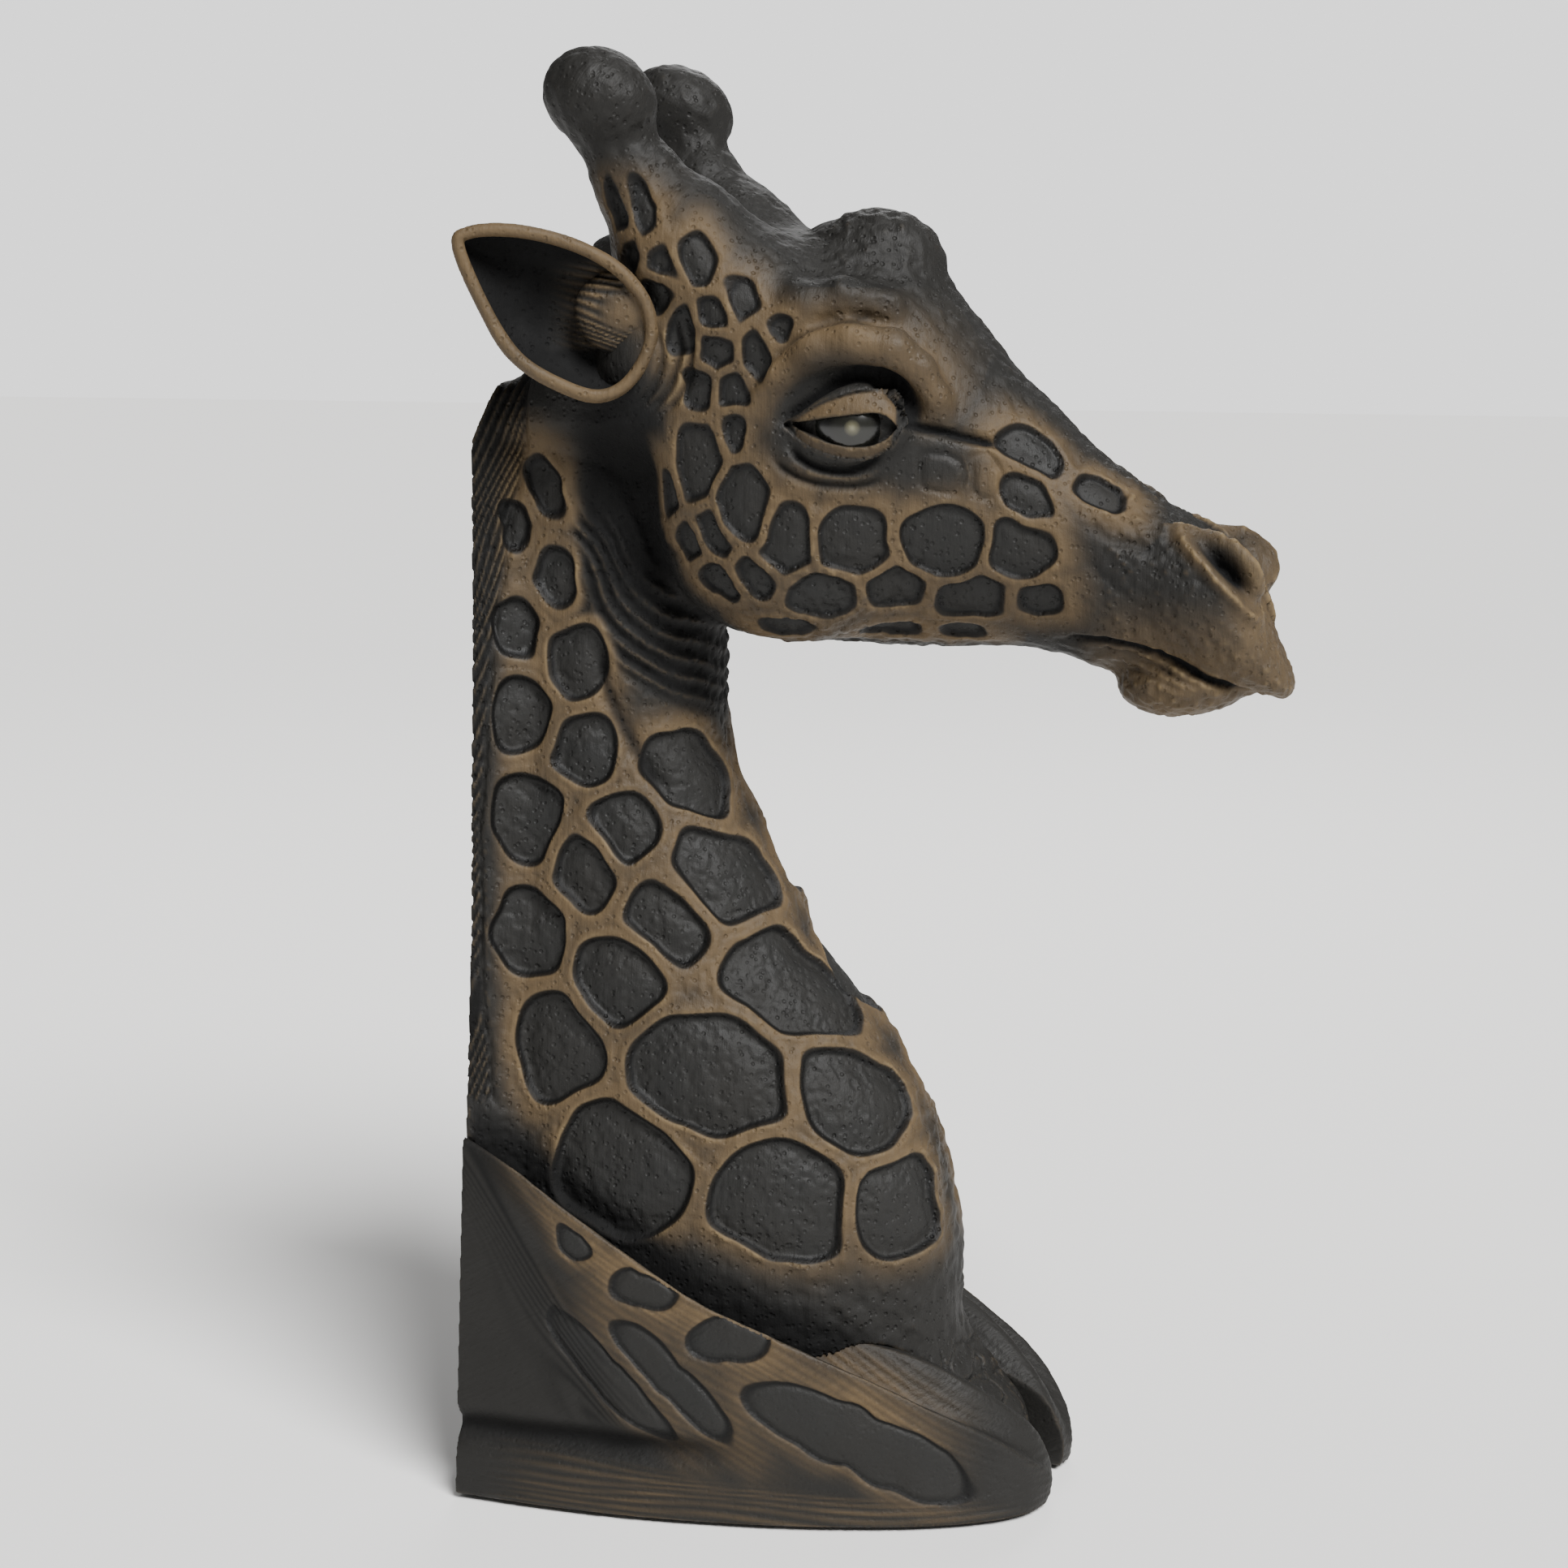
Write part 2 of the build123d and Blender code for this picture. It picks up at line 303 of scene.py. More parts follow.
def cutPiece(source, name, planes):
    # keeps what lies ahead of each plane and closes the cut; planes are (point in mm, normal, side)
    # side 0 cuts everything, and side 1 or -1 cuts only what is above the brow on that side of the middle
    mesh = source.data.copy()
    mesh.name = name
    work = bmesh.new()
    work.from_mesh(mesh)
    for point, normal, side in planes:
        faces, edges, verts = work.faces[:], work.edges[:], work.verts[:]
        if side:
            brow = headTop["brow"] * mm
            faces = [f for f in faces if f.verts[0].co.y * side > 0 and f.verts[0].co.z > brow]
            edges = list(dict.fromkeys(e for f in faces for e in f.edges))
            verts = list(dict.fromkeys(v for f in faces for v in f.verts))
        cut = bmesh.ops.bisect_plane(work, geom=verts + edges + faces, dist=1e-7, clear_inner=True,
                                     plane_co=Vector(point) * mm, plane_no=Vector(normal).normalized())
        rim = [g for g in cut["geom_cut"] if isinstance(g, bmesh.types.BMEdge) and g.is_boundary]
        for edge in rim:
            edge.smooth = False                      # keeps the carved side's shading unbroken
        caps = bmesh.ops.triangle_fill(work, edges=rim, use_beauty=False)
        for face in [g for g in caps["geom"] if isinstance(g, bmesh.types.BMFace)]:
            face.smooth = False
    bmesh.ops.recalc_face_normals(work, faces=work.faces[:])
    work.to_mesh(mesh)
    work.free()
    return linked(name, mesh)


def mirroredObject(source, name):
    mesh = source.data.copy()
    mesh.name = name
    mesh.transform(Matrix.Scale(-1, 4, (0, 1, 0)))
    mesh.flip_normals()
    return linked(name, mesh)


def wornLayer(points, quads, normals, rounds):
    # how proud each point stands of its surroundings, in mm: above 0 on ridges, below 0 in hollows
    smooth = np.stack([evened(points, quads, points[:, i], rounds) for i in range(3)], axis=1)
    return ((points - smooth) * normals).sum(axis=1)


# head, neck and chest are sculpted as one mass, and cut into their pieces afterwards
trunk = {
    "step": 0.55,      # mm between field samples
    # crown of the head along X: height of the top line
    "crown": [(-97, 257), (-93.5, 268.5), (-88, 276.5), (-83, 283), (-74, 290.5), (-62, 298),
              (-46, 304), (-24, 306.5), (0, 303), (10, 298), (17, 290.5), (28, 277.5), (38, 268),
              (47, 259), (57, 251.5), (67, 245), (76, 238.5), (84, 230), (90, 219), (94, 210.5),
              (97.5, 205)],
    # jaw line along X: height of the underside
    "jaw": [(-97, 240), (-80, 236), (-60, 228), (-46, 217), (-40, 212.8), (-30, 211.4), (-10, 210.3),
            (4, 209.8), (30, 210.5), (42, 209.5), (50, 207), (62, 205), (76, 204.2), (88, 201.8),
            (97.5, 200)],
    # half width of the head along X
    "headHalf": [(-97, 25), (-88, 27), (-74, 29), (-58, 31.5), (-38, 34), (-16, 35), (2, 33.5),
                 (18, 28.5), (34, 23.5), (50, 20), (64, 18.8), (76, 19), (86, 16.5), (92, 12),
                 (97.5, 8)],
    # front of the neck and chest by height
    "chestFront": [(0, 36.5), (12, 36.5), (19, 34), (27, 26.5), (36, 20.5), (52, 18.8), (60, 18.4),
                   (70, 16.8), (82, 14.4), (90, 11.4), (100, 7.2), (109, 1.6), (116, -3.4),
                   (126, -12.6), (136, -20.4), (142, -22.6), (152, -28), (162, -33.2), (170, -37.2),
                   (180, -40.6), (188, -42.6), (198, -42.8), (210, -43), (240, -50), (266, -60),
                   (275, -66)],
    # how far the mane reaches forward from the flat back, by height
    "mane": [(96, 7), (112, 5), (130, 3), (170, 3), (200, 4.5), (230, 7.5), (250, 11), (285, 13)],
    # half width of the neck and chest by height
    "chestHalf": [(0, 36), (30, 38), (56, 39.5), (80, 39.5), (100, 37.5), (120, 35), (145, 31.5),
                  (170, 29), (195, 26.5), (220, 25), (245, 24), (266, 22), (275, 19)],
}

# where the head and its horns part from their neighbours
headTop = {
    "jointFoot": (-40.0, 0.0, 210.0), "jointTop": (-96.0, 0.0, 262.0),     # glue plane under the jaw
    "hornRoot": (-33.0, 19.0, 284.0), "hornTip": (-66.5, 29.0, 347.9),     # middle line of a horn
    "hornCutAt": 0.42,      # how far up that line its glue plane is
    "brow": 290.0,          # the horns' planes cut only above this height
}

# carved cells on the face: x, z, half width, half height in mm, tilt in degrees
faceCells = [
    (-57.5, 312, 2.4, 8.0, 12), (-51, 312.5, 2.6, 8.5, 24), (-55, 302, 3.2, 4.2, 20),
    (-45.5, 299, 3.8, 6.5, 25), (-37, 300.5, 4.0, 6.4, 25), (-46.5, 293.5, 4.6, 4.3, 30),
    (-41, 284.5, 3.7, 6.2, 0), (-33, 289, 4.6, 5.0, 10), (-27, 292.5, 4.0, 5.6, 30),
    (-33, 280, 4.4, 4.6, 0), (-23.5, 280, 2.8, 6.0, 0), (-18.5, 285.5, 2.8, 2.3, 0),
    (-37.5, 272, 3.3, 5.6, 0), (-29, 271.5, 3.5, 3.8, 0), (-29.5, 261.5, 2.9, 4.2, 0),
    (-37.5, 255, 5.4, 9.4, -8), (-47, 246, 2.0, 6.0, 0), (-26.5, 245, 6.6, 8.6, 10),
    (-34.5, 238.5, 3.6, 6.4, 35), (-41.5, 236, 3.2, 5.0, 20), (-16, 236.5, 5.9, 8.4, 0),
    (0, 236.5, 7.8, 7.8, 0), (19.5, 236.5, 8.8, 8.0, 0), (37, 235.5, 7.0, 6.6, 0),
    (-34, 226.5, 5.6, 3.4, -28), (-24, 228, 5.4, 4.0, -25), (-8, 223.5, 7.6, 5.8, 0),
    (8.5, 225, 6.6, 5.0, 0), (25, 222.5, 8.4, 5.0, 8), (39.5, 222.5, 5.6, 3.2, 0),
    (38.5, 247, 3.8, 6.5, 35), (39.5, 259.5, 8.0, 4.2, -38), (54.5, 250, 6.0, 3.2, -30),
    (-18, 214.5, 6.5, 2.4, 0), (5, 213.5, 6.5, 2.2, 0), (21, 213.5, 5.0, 2.2, 0),
]
faintCells = [(19.5, 253, 5.4, 4.2, -15), (29, 252.5, 3.3, 5.0, 15)]

# and on the neck and chest
neckCells = [
    (-79.8, 246.5, 3.4, 7.8, 20), (-84.8, 238.5, 3.2, 6.2, 10), (-77.6, 226, 4.8, 8.5, 0),
    (-84.4, 213.5, 5.4, 7.8, 0), (-72, 205.5, 7.4, 9.2, 15), (-83.6, 193, 7.0, 9.2, 0),
    (-69.6, 185.2, 8.2, 9.0, 0), (-82, 167.8, 7.8, 11.4, 0), (-58.4, 167, 8.6, 8.6, 30),
    (-69, 155.2, 8.7, 9.7, 0), (-81, 140.5, 8.4, 11.6, 0), (-47, 144.5, 8.4, 11.6, 38),
    (-59, 130, 11.4, 10.8, 20), (-43.5, 178.5, 12.5, 9.0, -35), (-33.5, 155, 15.5, 10.8, -38),
    (-17.5, 129, 19.5, 12.5, -42), (-72.9, 113, 10.8, 13.0, 10), (-34.3, 109, 20.4, 13.8, -8),
    (-1, 103, 16.5, 12.0, -42), (-56.5, 84.5, 17, 15.0, -35), (-16.2, 79.4, 17.0, 13.6, -25),
    (10, 75.5, 12.5, 11.6, 0),
]

# what is carved into head, neck and chest, in mm
carve = {
    # net between the cells: ridge width, growth and rounding of each cell
    "faceNet": (1.7, 1.0, 1.2), "neckNet": (2.6, 1.4, 3.6), "faintNet": 1.5,
    # the cells: depth, width of the wall, height of the pillow in the middle and how wide it rises
    "faceCell": (1.15, 1.0, 0.45, 3.0), "neckCell": (2.0, 1.3, 0.9, 6.0), "faintCell": 0.7,
    "wrinklePitch": 3.5, "wrinkleDepth": (0.6, 1.4),     # throat
    "muzzlePebble": 0.9, "jawPebble": 0.9, "bridgeBump": 0.6,
    "chestFold": 1.6, "chestCrackle": 0.9,
    "manePitch": 2.0, "maneEdge": 0.9,
}


def trunkField(p):
    x, y, z = p
    y = np.abs(y)
    # head: oval sections strung along X, broad at the brow and narrow at the jaw
    top = curveThrough(trunk["crown"], x)
    under = curveThrough(trunk["jaw"], x)
    half = curveThrough(trunk["headHalf"], x)
    middle = 0.5 * (top + under)
    tall = 0.5 * (top - under)
    up = (z - middle) / tall
    lean = 1.0 - 0.12 * (up - 0.15) ** 2 - 0.06 * np.clip(-up, 0, 1)
    lean = lean * (1.0 - 0.35 * ramp(-x, 44, 58) * ramp(264 - z, 0, 14))
    across = y / (half * lean)
    head = ((np.abs(across) ** 2.35 + np.abs(up) ** 2.35) ** (1 / 2.35) - 1.0) * np.minimum(half, tall)
    head = keepSoft(head, x - 96.6, 3.0)
    cheek = ball((x, y, z), (-19, 18, 241), (32.5, 17.5, 29.2))
    head = joinSoft(head, cheek, 5.0)
    # neck and chest: level sections, rounded in front and cut flat behind
    front = curveThrough(trunk["chestFront"], z)
    wide = curveThrough(trunk["chestHalf"], z)
    centre = statueBack + 0.42 * (front - statueBack)
    reach = np.where(x > centre, front - centre, (centre - statueBack) / 0.5)
    maneFlare = 8.0 + 2.5 * ramp(z, 120, 200)
    wide = wide + maneFlare * ramp(statueBack + 15 - x, 0, 17) * ramp(z, 40, 80)
    column = ((np.abs((x - centre) / reach) ** 2.15 + (y / wide) ** 2.15) ** (1 / 2.15) - 1.0)
    column = column * np.minimum(wide, front - centre)
    column = keepSoft(column, z - np.minimum(top - 1.0, 272), 3.5)
    return joinSoft(head, column, 4.0)


# edges of the lids along X: the opening that shows the ball, and the wider rim round it
lids = {
    "upper": [(-15.5, 264.0), (-11, 264.7), (-7, 265.3), (-2, 265.9), (2, 266.3), (6, 266.4),
              (8.2, 265.4), (9.8, 263.4)],
    "lower": [(-15.5, 264.0), (-12, 262.3), (-8, 260.7), (-4, 259.5), (1, 259.0), (5, 259.6),
              (8, 261.3), (9.8, 263.4)],
    "band": [(-16.8, 263.6), (-12, 266.2), (-7, 268.8), (-2, 270.6), (3, 271.6), (7, 271.4),
             (9.6, 269.2), (11.6, 264.4)],
    "rim": [(-16.8, 263.6), (-12.5, 260.2), (-8, 258.0), (-3, 256.6), (2, 256.3), (6.5, 257.6),
            (9.6, 260.4), (11.6, 264.4)],
}


def openLids(f, q):
    # two steps down through the lids: a flat rim, then the opening; and a hole that fits the eye
    x, y, z = q
    for upper, lower, radii, left, right in (("band", "rim", (15.7, 9.8, 11.7), -16.8, 11.6),
                                             ("upper", "lower", (14.2, 6.6, 9.8), -15.5, 9.8)):
        opening = np.maximum(z - curveThrough(lids[upper], x), curveThrough(lids[lower], x) - z) * 0.85
        opening = np.maximum(opening, np.maximum(x - right, left - x))
        flesh = ball(q, (-2.5, -27.5, 263.6), radii)
        f = cutSoft(f, np.maximum(np.maximum(opening, -flesh), y + 27.0), 0.35)
    return np.maximum(f, -ball(q, (-2.0, -26.5, 263.5), (9.5, 9.5, 9.5)))


# the folded forelegs, whose top also shapes the notch that they sit in
foreleg = {
    "step": 0.55,
    # outer face along X at the floor, as a distance from the centre plane
    # and how much it leans in per mm of height
    "outer": [(-97, 52), (-76, 53), (-53, 52.5), (-34, 50.5), (-16, 47.5), (4, 42.5), (20, 37),
              (31, 31.5), (38, 26.5), (43, 21), (46.5, 14)],
    "lean": 0.10,
    # the sharp outer top edge, the valley inside it, and the softer inner ridge over the knee
    "outerTop": [(-97, 93), (-82, 84), (-61, 71), (-38, 57), (-7, 43.5), (15, 33), (38, 18.5), (46, 10)],
    "valley": [(-97, 10), (-60, 10), (-30, 9), (-12, 8), (0, 6.5), (12, 5), (25, 3.5), (38, 2), (46, 1)],
    "innerTop": [(-97, 92), (-30, 56), (-12, 47), (0, 43), (14, 38.5), (30, 28.5), (40, 18.5), (46, 9)],
    "cheekBack": 30.0, "cheekFront": 8.0, "kneeX": 46.0,
    "shinBack": (-96.0, 0, 17.0), "shinFront": (46.0, 0, 4.0),     # glue plane between leg and shin
    # carved cells: x, z, half length, half height, tilt
    "cells": [(-65.8, 66.6, 5.6, 3.2, -35), (-49.8, 57, 9.4, 3.8, -25), (-27, 46.5, 10.5, 4.8, -22),
              (-56, 36, 22, 5.2, -42), (-41, 37, 22, 5.8, -42), (3, 23.5, 33, 7.2, -26)],
}


def cheekAt(x):
    # the flat glue face between core and foreleg, as a distance from the centre plane
    t = (x - statueBack) / (foreleg["kneeX"] - 6 - statueBack)
    return mix(foreleg["cheekBack"], foreleg["cheekFront"], t)


def legTopAt(x, y):
    # height of the leg's top surface
    outerTop = curveThrough(foreleg["outerTop"], x)
    valley = curveThrough(foreleg["valley"], x)
    innerTop = curveThrough(foreleg["innerTop"], x)
    inward = curveThrough(foreleg["outer"], x) - foreleg["lean"] * outerTop + y
    ridge = ramp(x, -22, 2)
    top = outerTop - valley * ramp(inward, -0.5, 6.0)
    top = top + ridge * (innerTop - outerTop + valley) * ramp(inward, 6.0, 12.5)
    return top - ridge * 12.0 * ramp(inward, 13.0, 28.0)


def legField(p):
    x, y, z = p
    side = -y - curveThrough(foreleg["outer"], x) + foreleg["lean"] * z
    # muscle standing proud in front, a recess above the shin, and the shin flaring below it
    proud = ramp(x + 0.42 * z, -52, -40) * ramp(z, 10, 26)
    recess = np.exp(-((z - 18.5) / 3.4) ** 2) * ramp(-x, 14, 48)
    side = side - 1.3 * proud + 3.6 * recess
    top = (z - legTopAt(x, y)) * 0.8
    tip = x - 47.0 + 0.022 * (-y - 17.0) ** 2 + 0.020 * (z - 10.0) ** 2
    f = keepSoft(side, top, 1.0)
    f = keepSoft(f, tip * 0.9, 5.0)
    f = keepSoft(f, cheekAt(x) + y, 0.5)
    f = keepSoft(f, floorOfWood - z, 1.2)
    return np.maximum(f, statueBack - x)


print("sculpting the head, neck and chest")
step = trunk["step"]
low = (statueBack - 3 * step, -math.ceil(56 / step) * step, floorOfWood - 3 * step)
p = axesOf(low, (99.0, 0.5 * step, 354.0), step)
field = np.broadcast_to(trunkField(p), (p[0].size, p[1].size, p[2].size)).astype(np.float32).copy()

# features of the right side, which the left side mirrors: box to work in, how, how softly, shape
features = [
    ((-45, -24, 280), (30, 3, 330), joinSoft, 6.0,      # lump in the middle of the brow
     lambda q: ball(q, (-3.5, 0, 302), (15.2, 12.5, 11), -3)),
    ((-96, -57, 270), (0, 3, 354), joinSoft, 8.0,      # horn stalk
     lambda q: rope(q, [(-33, -17, 289), (-46, -19.5, 304), (-54.8, -22.5, 317.5), (-60.5, -25.5, 329)],
                    [19, 16.2, 10.4, 8.6], 3.0)),
    ((-96, -57, 310), (-30, 3, 354), joinSoft, 3.0,      # horn knob
     lambda q: ball(q, (-63.2, -27.5, 337.6), (13.9, 12.4, 11.2), -24)),
    ((-40, -57, 262), (30, 0, 310), joinSoft, 6.0,      # muscle of the forehead
     lambda q: rope(q, [(-21, -30, 283), (-13, -28.5, 290), (-5, -26.5, 292.5), (5, -23, 291)],
                    [3.0, 4.6, 4.0, 2.2], 3.0)),
    ((-40, -57, 250), (40, 0, 300), joinSoft, 3.0,      # brow ridge
     lambda q: rope(q, [(-24, -30, 268), (-17.5, -32, 275), (-9.5, -33.5, 280.5), (-1, -33, 282.5),
                        (8, -30.5, 280.5), (13.5, -28, 276), (17, -26.5, 270), (19, -25, 264)],
                    [2.2, 3.8, 4.7, 5.0, 4.6, 3.8, 2.8, 1.2], 3.0)),
    ((-40, -57, 240), (40, 0, 285), cutSoft, 2.5,      # eye hollow
     lambda q: ball(q, (-1.5, -41, 265), (18.5, 9.5, 11.5))),
    ((-40, -57, 240), (40, 0, 285), joinSoft, 1.2,      # lids, still closed
     lambda q: ball(q, (-2.5, -27.5, 263.8), (16.5, 10.8, 12.3))),
    ((50, -40, 210), (99, 3, 260), joinSoft, 5.0,      # nostril swelling
     lambda q: ball(q, (79, -11, 228.5), (10.5, 7.8, 9.6))),
    ((30, -40, 185), (99, 3, 215), joinSoft, 3.0,      # lower lip
     lambda q: ball(q, (71.5, 0, 203.9), (16, 13.5, 8.4), 6)),
    ((-80, -57, 255), (-20, 0, 300), joinSoft, 5.0,      # root of the ear
     lambda q: ball(q, (-53, -26, 279), (11, 9, 13))),
]
for boxLow, boxHigh, change, soft, shape in features:
    touch(field, p, boxLow, boxHigh, lambda f, q: change(f, shape(q), soft))
touch(field, p, (-40, -57, 240), (40, 0, 285), openLids)
field = np.maximum(field, statueBack - p[0])
field = np.maximum(field, floorOfWood - p[2])
notch = np.maximum(cheekAt(p[0]) + p[1], p[2] - legTopAt(p[0], p[1]))
field = np.maximum(field, -notch - 0.1)                      # seat for the forelegs
field = np.concatenate([field, field[:, -2::-1]], axis=1)
points, quads = skinOf(field, low, step)
normals = normalsOf(points, quads)
right = onRight(points, points)
x, y, z = right[:, 0], right[:, 1], right[:, 2]
onSide = ramp(-y, 3, 7)
print("carving", len(points), "points")

faceEdge = cellsOn(points, normals, faceCells, *carve["faceNet"])
neckEdge = cellsOn(points, normals, neckCells, *carve["neckNet"])
faintEdge = cellsOn(points, normals, faintCells, carve["faintNet"])
onSurface = ramp(x, statueBack + 0.6, statueBack + 2.2)
neckEdge = np.where(onSurface > 0.3, neckEdge, 50.0)
cut = carveCells(faceEdge, *carve["faceCell"])
cut = cut + carveCells(neckEdge, *carve["neckCell"]) * onSurface
cut = cut + carve["faintCell"] * np.exp(-(faintEdge / 0.7) ** 2)
cellFloor = np.maximum(ramp(-faceEdge, 0.2, 1.0), ramp(-neckEdge, 0.3, 1.3))

# wrinkles of the throat: arcs that slant from behind the jaw down to the front
reach = np.hypot(x, z - 272)
jawAway = np.hypot((x + 19) / 32.5, (z - 241) / 29.2)
throatZone = ramp(jawAway, 1.06, 1.20) * ramp(94 - reach, 0, 6) * ramp(250 - z, 0, 14)
throatZone = throatZone * ramp(-x, 39, 42) * ramp(x, -78, -71)
throatZone = throatZone * ramp(neckEdge, 0.5, 3.0) * ramp(faceEdge, 0.5, 2.5)
turns = reach / carve["wrinklePitch"] + 1.6 * cloud(right, 15, 21)
wrinkle = 0.5 + 0.5 * np.sin(2 * math.pi * turns)
wrinkleDepth = mix(*carve["wrinkleDepth"], cloud(right, 9, 23)) * mix(0.45, 1.0, ramp(-y, 4, 14))
cut = cut + throatZone * (1 - wrinkle ** 1.3) * wrinkleDepth

# lines of the face and neck: points by x and z, width, depth
faceLines = [
    # folds under the lower lid
    ([(-16, 260.5), (-13, 256.6), (-8, 254), (-1, 253.3), (5, 255.3), (8.5, 259)], 2.0, 1.7),
    ([(-21.5, 258.5), (-16.5, 253.8), (-10.5, 251), (-3, 249.9), (4, 250.6), (10, 254)], 2.2, 1.3),
    ([(-25, 253.5), (-16, 247.5), (-5, 245.6), (6, 246.8)], 3.0, 0.6),
    # crease over the upper lid, down in front of it, and on towards the nose
    ([(-21, 262), (-15, 266.4), (-9.3, 270.8), (-4, 274), (1, 275.3), (6, 274), (10, 270.4),
      (12.5, 264)], 2.6, 2.1),
    ([(3, 275.4), (9, 272.6), (12.6, 267.6), (12.8, 262.4)], 3.6, 2.2),
    ([(10.5, 263.8), (17.5, 262.6), (25, 260.8), (33.5, 258.6)], 2.4, 2.0),
    # between brow and forehead
    ([(-23, 274), (-17, 281), (-9, 286.4), (0, 288), (8, 286)], 2.4, 1.0),
    ([(-27, 268), (-22.5, 276), (-21.5, 284)], 2.2, 0.7),
    # hollow behind the muzzle, mouth, ridges of the lower lip, crease over the muzzle
    ([(46, 238), (55, 230), (63, 222), (63, 215)], 7.0, 0.8),
    ([(40, 213.5), (52, 214), (63, 212.2), (73, 208.6), (82, 204.2), (91, 201.6)], 1.9, 2.0),
    ([(50, 211.6), (58, 211.2), (68, 207.8), (80, 202.2)], 1.5, 0.9),
    ([(55, 208.6), (64, 206.4), (74, 202.4)], 1.5, 0.7),
    ([(50, 243), (58, 238), (70, 235)], 3.5, 0.9),
    # hollow down the neck
    ([(-66, 214), (-63.5, 199), (-56, 184), (-47, 170)], 5.0, 1.3),
    # folds at the ear's root
    ([(-41, 290), (-38.8, 281), (-41.5, 271), (-48, 264)], 1.8, 1.2),
    ([(-44.6, 289), (-42.2, 280), (-45, 271), (-51, 265)], 1.8, 1.2),
    ([(-48, 287), (-46, 279), (-48.5, 271.5), (-54, 266)], 1.8, 1.1),
]
lineCut = 0
for line, width, depth in faceLines:
    lineCut = lineCut + groove(right, line, width, depth)
cut = cut + lineCut * onSide

nostrilPit = {"centre": (84.0, -16.5, 232.0), "along": (0.66, 0.10, -0.74), "facing": (0.38, -0.84, 0.38),
              "halfLong": 8.6, "halfWide": 3.0, "deep": 5.0, "lip": 1.7}
pitAlong, pitFacing = np.array(nostrilPit["along"]), np.array(nostrilPit["facing"])
pitFacing = pitFacing - pitAlong * (pitFacing @ pitAlong)
pitFacing = pitFacing / np.linalg.norm(pitFacing)
gap = right - np.array(nostrilPit["centre"])
u, v, w = gap @ pitAlong, gap @ np.cross(pitFacing, pitAlong), gap @ pitFacing
nostril = np.sqrt((u / nostrilPit["halfLong"]) ** 2 + (v / nostrilPit["halfWide"]) ** 2) - 1.0
nostril = nostril * nostrilPit["halfWide"]
nostril = np.where((np.abs(w) < 9) & (y < -3), nostril, 30.0)
cut = cut + nostrilPit["deep"] * ramp(-nostril, -0.5, 1.8)
cut = cut - nostrilPit["lip"] * np.exp(-((nostril - 1.6) / 1.2) ** 2)          # raised rim

# skin: pebbles on the muzzle, bumps on the bridge, lump and horns
muzzleZone = ramp(x, 44, 60) * ramp(270 - z, 0, 20)
bridgeZone = ramp(z - curveThrough(trunk["crown"], x) + 16, 0, 12)
bridgeZone = bridgeZone * ramp(x, -34, -18) * ramp(84 - x, 0, 12)
hornZone = ramp(z, 300, 318)
pebble = cloud(points, 1.6, 31)
bumps = cloud(points, (2.9, 2.9, 2.7), 33)
calm = 1 - np.clip(cellFloor + ramp(-nostril, -2, 0), 0, 1)
cut = cut + carve["muzzlePebble"] * muzzleZone * (0.5 - pebble) * calm
bridgeRough = carve["bridgeBump"] * (0.5 - bumps)
bridgeRough = bridgeRough + carve["bridgeBump"] * (0.5 - cloud(points, (1.8, 1.8, 2.2), 34))
cut = cut + bridgeZone * bridgeRough * calm
hornRough = 0.5 * (0.5 - cloud(points, (1.9, 1.9, 2.8), 35)) + 0.3 * (0.5 - bumps)
cut = cut + hornZone * hornRough * (1 - cellFloor)
jawZone = ramp(218 - z, 0, 6) * ramp(x, -40, -34) * ramp(60 - x, 0, 10)
cut = cut + carve["jawPebble"] * jawZone * (0.5 - cloud(points, 2.6, 36)) * calm

# pits in the cell floors and on the net, and a carver's slight unevenness everywhere
pits = ramp(cloud(points, 1.5, 37), 0.40, 0.78)
neckZone = ramp(250 - z, 0, 20) * ramp(z, 58, 75) * ramp(-x, -20, -14)
cut = cut + pits * (0.24 * neckZone + 0.10) * ramp(np.abs(neckEdge), 0.6, 1.8)
cut = cut + 0.45 * (0.5 - cloud(points, (13, 13, 17), 39))
cut = cut + 0.10 * (0.5 - cloud(points, (4.5, 4.5, 6), 41))
cut = cut + 0.16 * (0.5 - cloud(points, (2.2, 2.2, 2.6), 40)) * ramp(-x - 0.2 * z, -60, -20)

# folds and bark-like crackle on the lower chest between the knees
foldZone = ramp(58 - z, 0, 10) * ramp(x, -14, 4)
cut = cut + foldZone * carve["chestFold"] * (0.5 - cloud(points, (5, 7, 26), 43))
crackle = np.abs(cloud(points, (4, 4, 6), 45) - 0.5)
crackle = carve["chestCrackle"] * ramp(42 - z, 0, 10) * ramp(x, 12, 20) * np.exp(-(crackle / 0.05) ** 2)
cut = cut + crackle

# mane: slanting strands along the back edges
maneAway = x - statueBack - curveThrough(trunk["mane"], z) - 1.5 * (cloud(right, (6, 6, 9), 47) - 0.5)
maneZone = ramp(-maneAway, -0.6, 1.0) * ramp(z, 96, 101) * ramp(286 - z, 0, 8) * ramp(-y, 6, 12)
strands = combed(right, (0.42, 0.91), carve["manePitch"], 51)
cut = cut + maneZone * (1 - strands - 0.3)
cut = cut + carve["maneEdge"] * np.exp(-(maneAway / 0.8) ** 2) * ramp(z, 96, 101) * onSide

# glue faces, back and underside stay flat
glued = (cheekAt(x) + y > -0.6) & (z < 92) & (z < legTopAt(x, y) + 0.4)
flatBack = x < statueBack + 0.35
underside = z < floorOfWood + 0.35
cut = np.where(glued | underside, 0.0, cut)
backGrain = combed(points[:, [1, 0, 2]], (0.02, 1.0), 1.6, 53)
cut = np.where(flatBack, 0.35 * (cut > 0.6) + 0.12 * (1 - backGrain), cut)
points = points - normals * cut[:, None]
normals = normalsOf(points, quads)
proudness = wornLayer(points, quads, normals, 6)
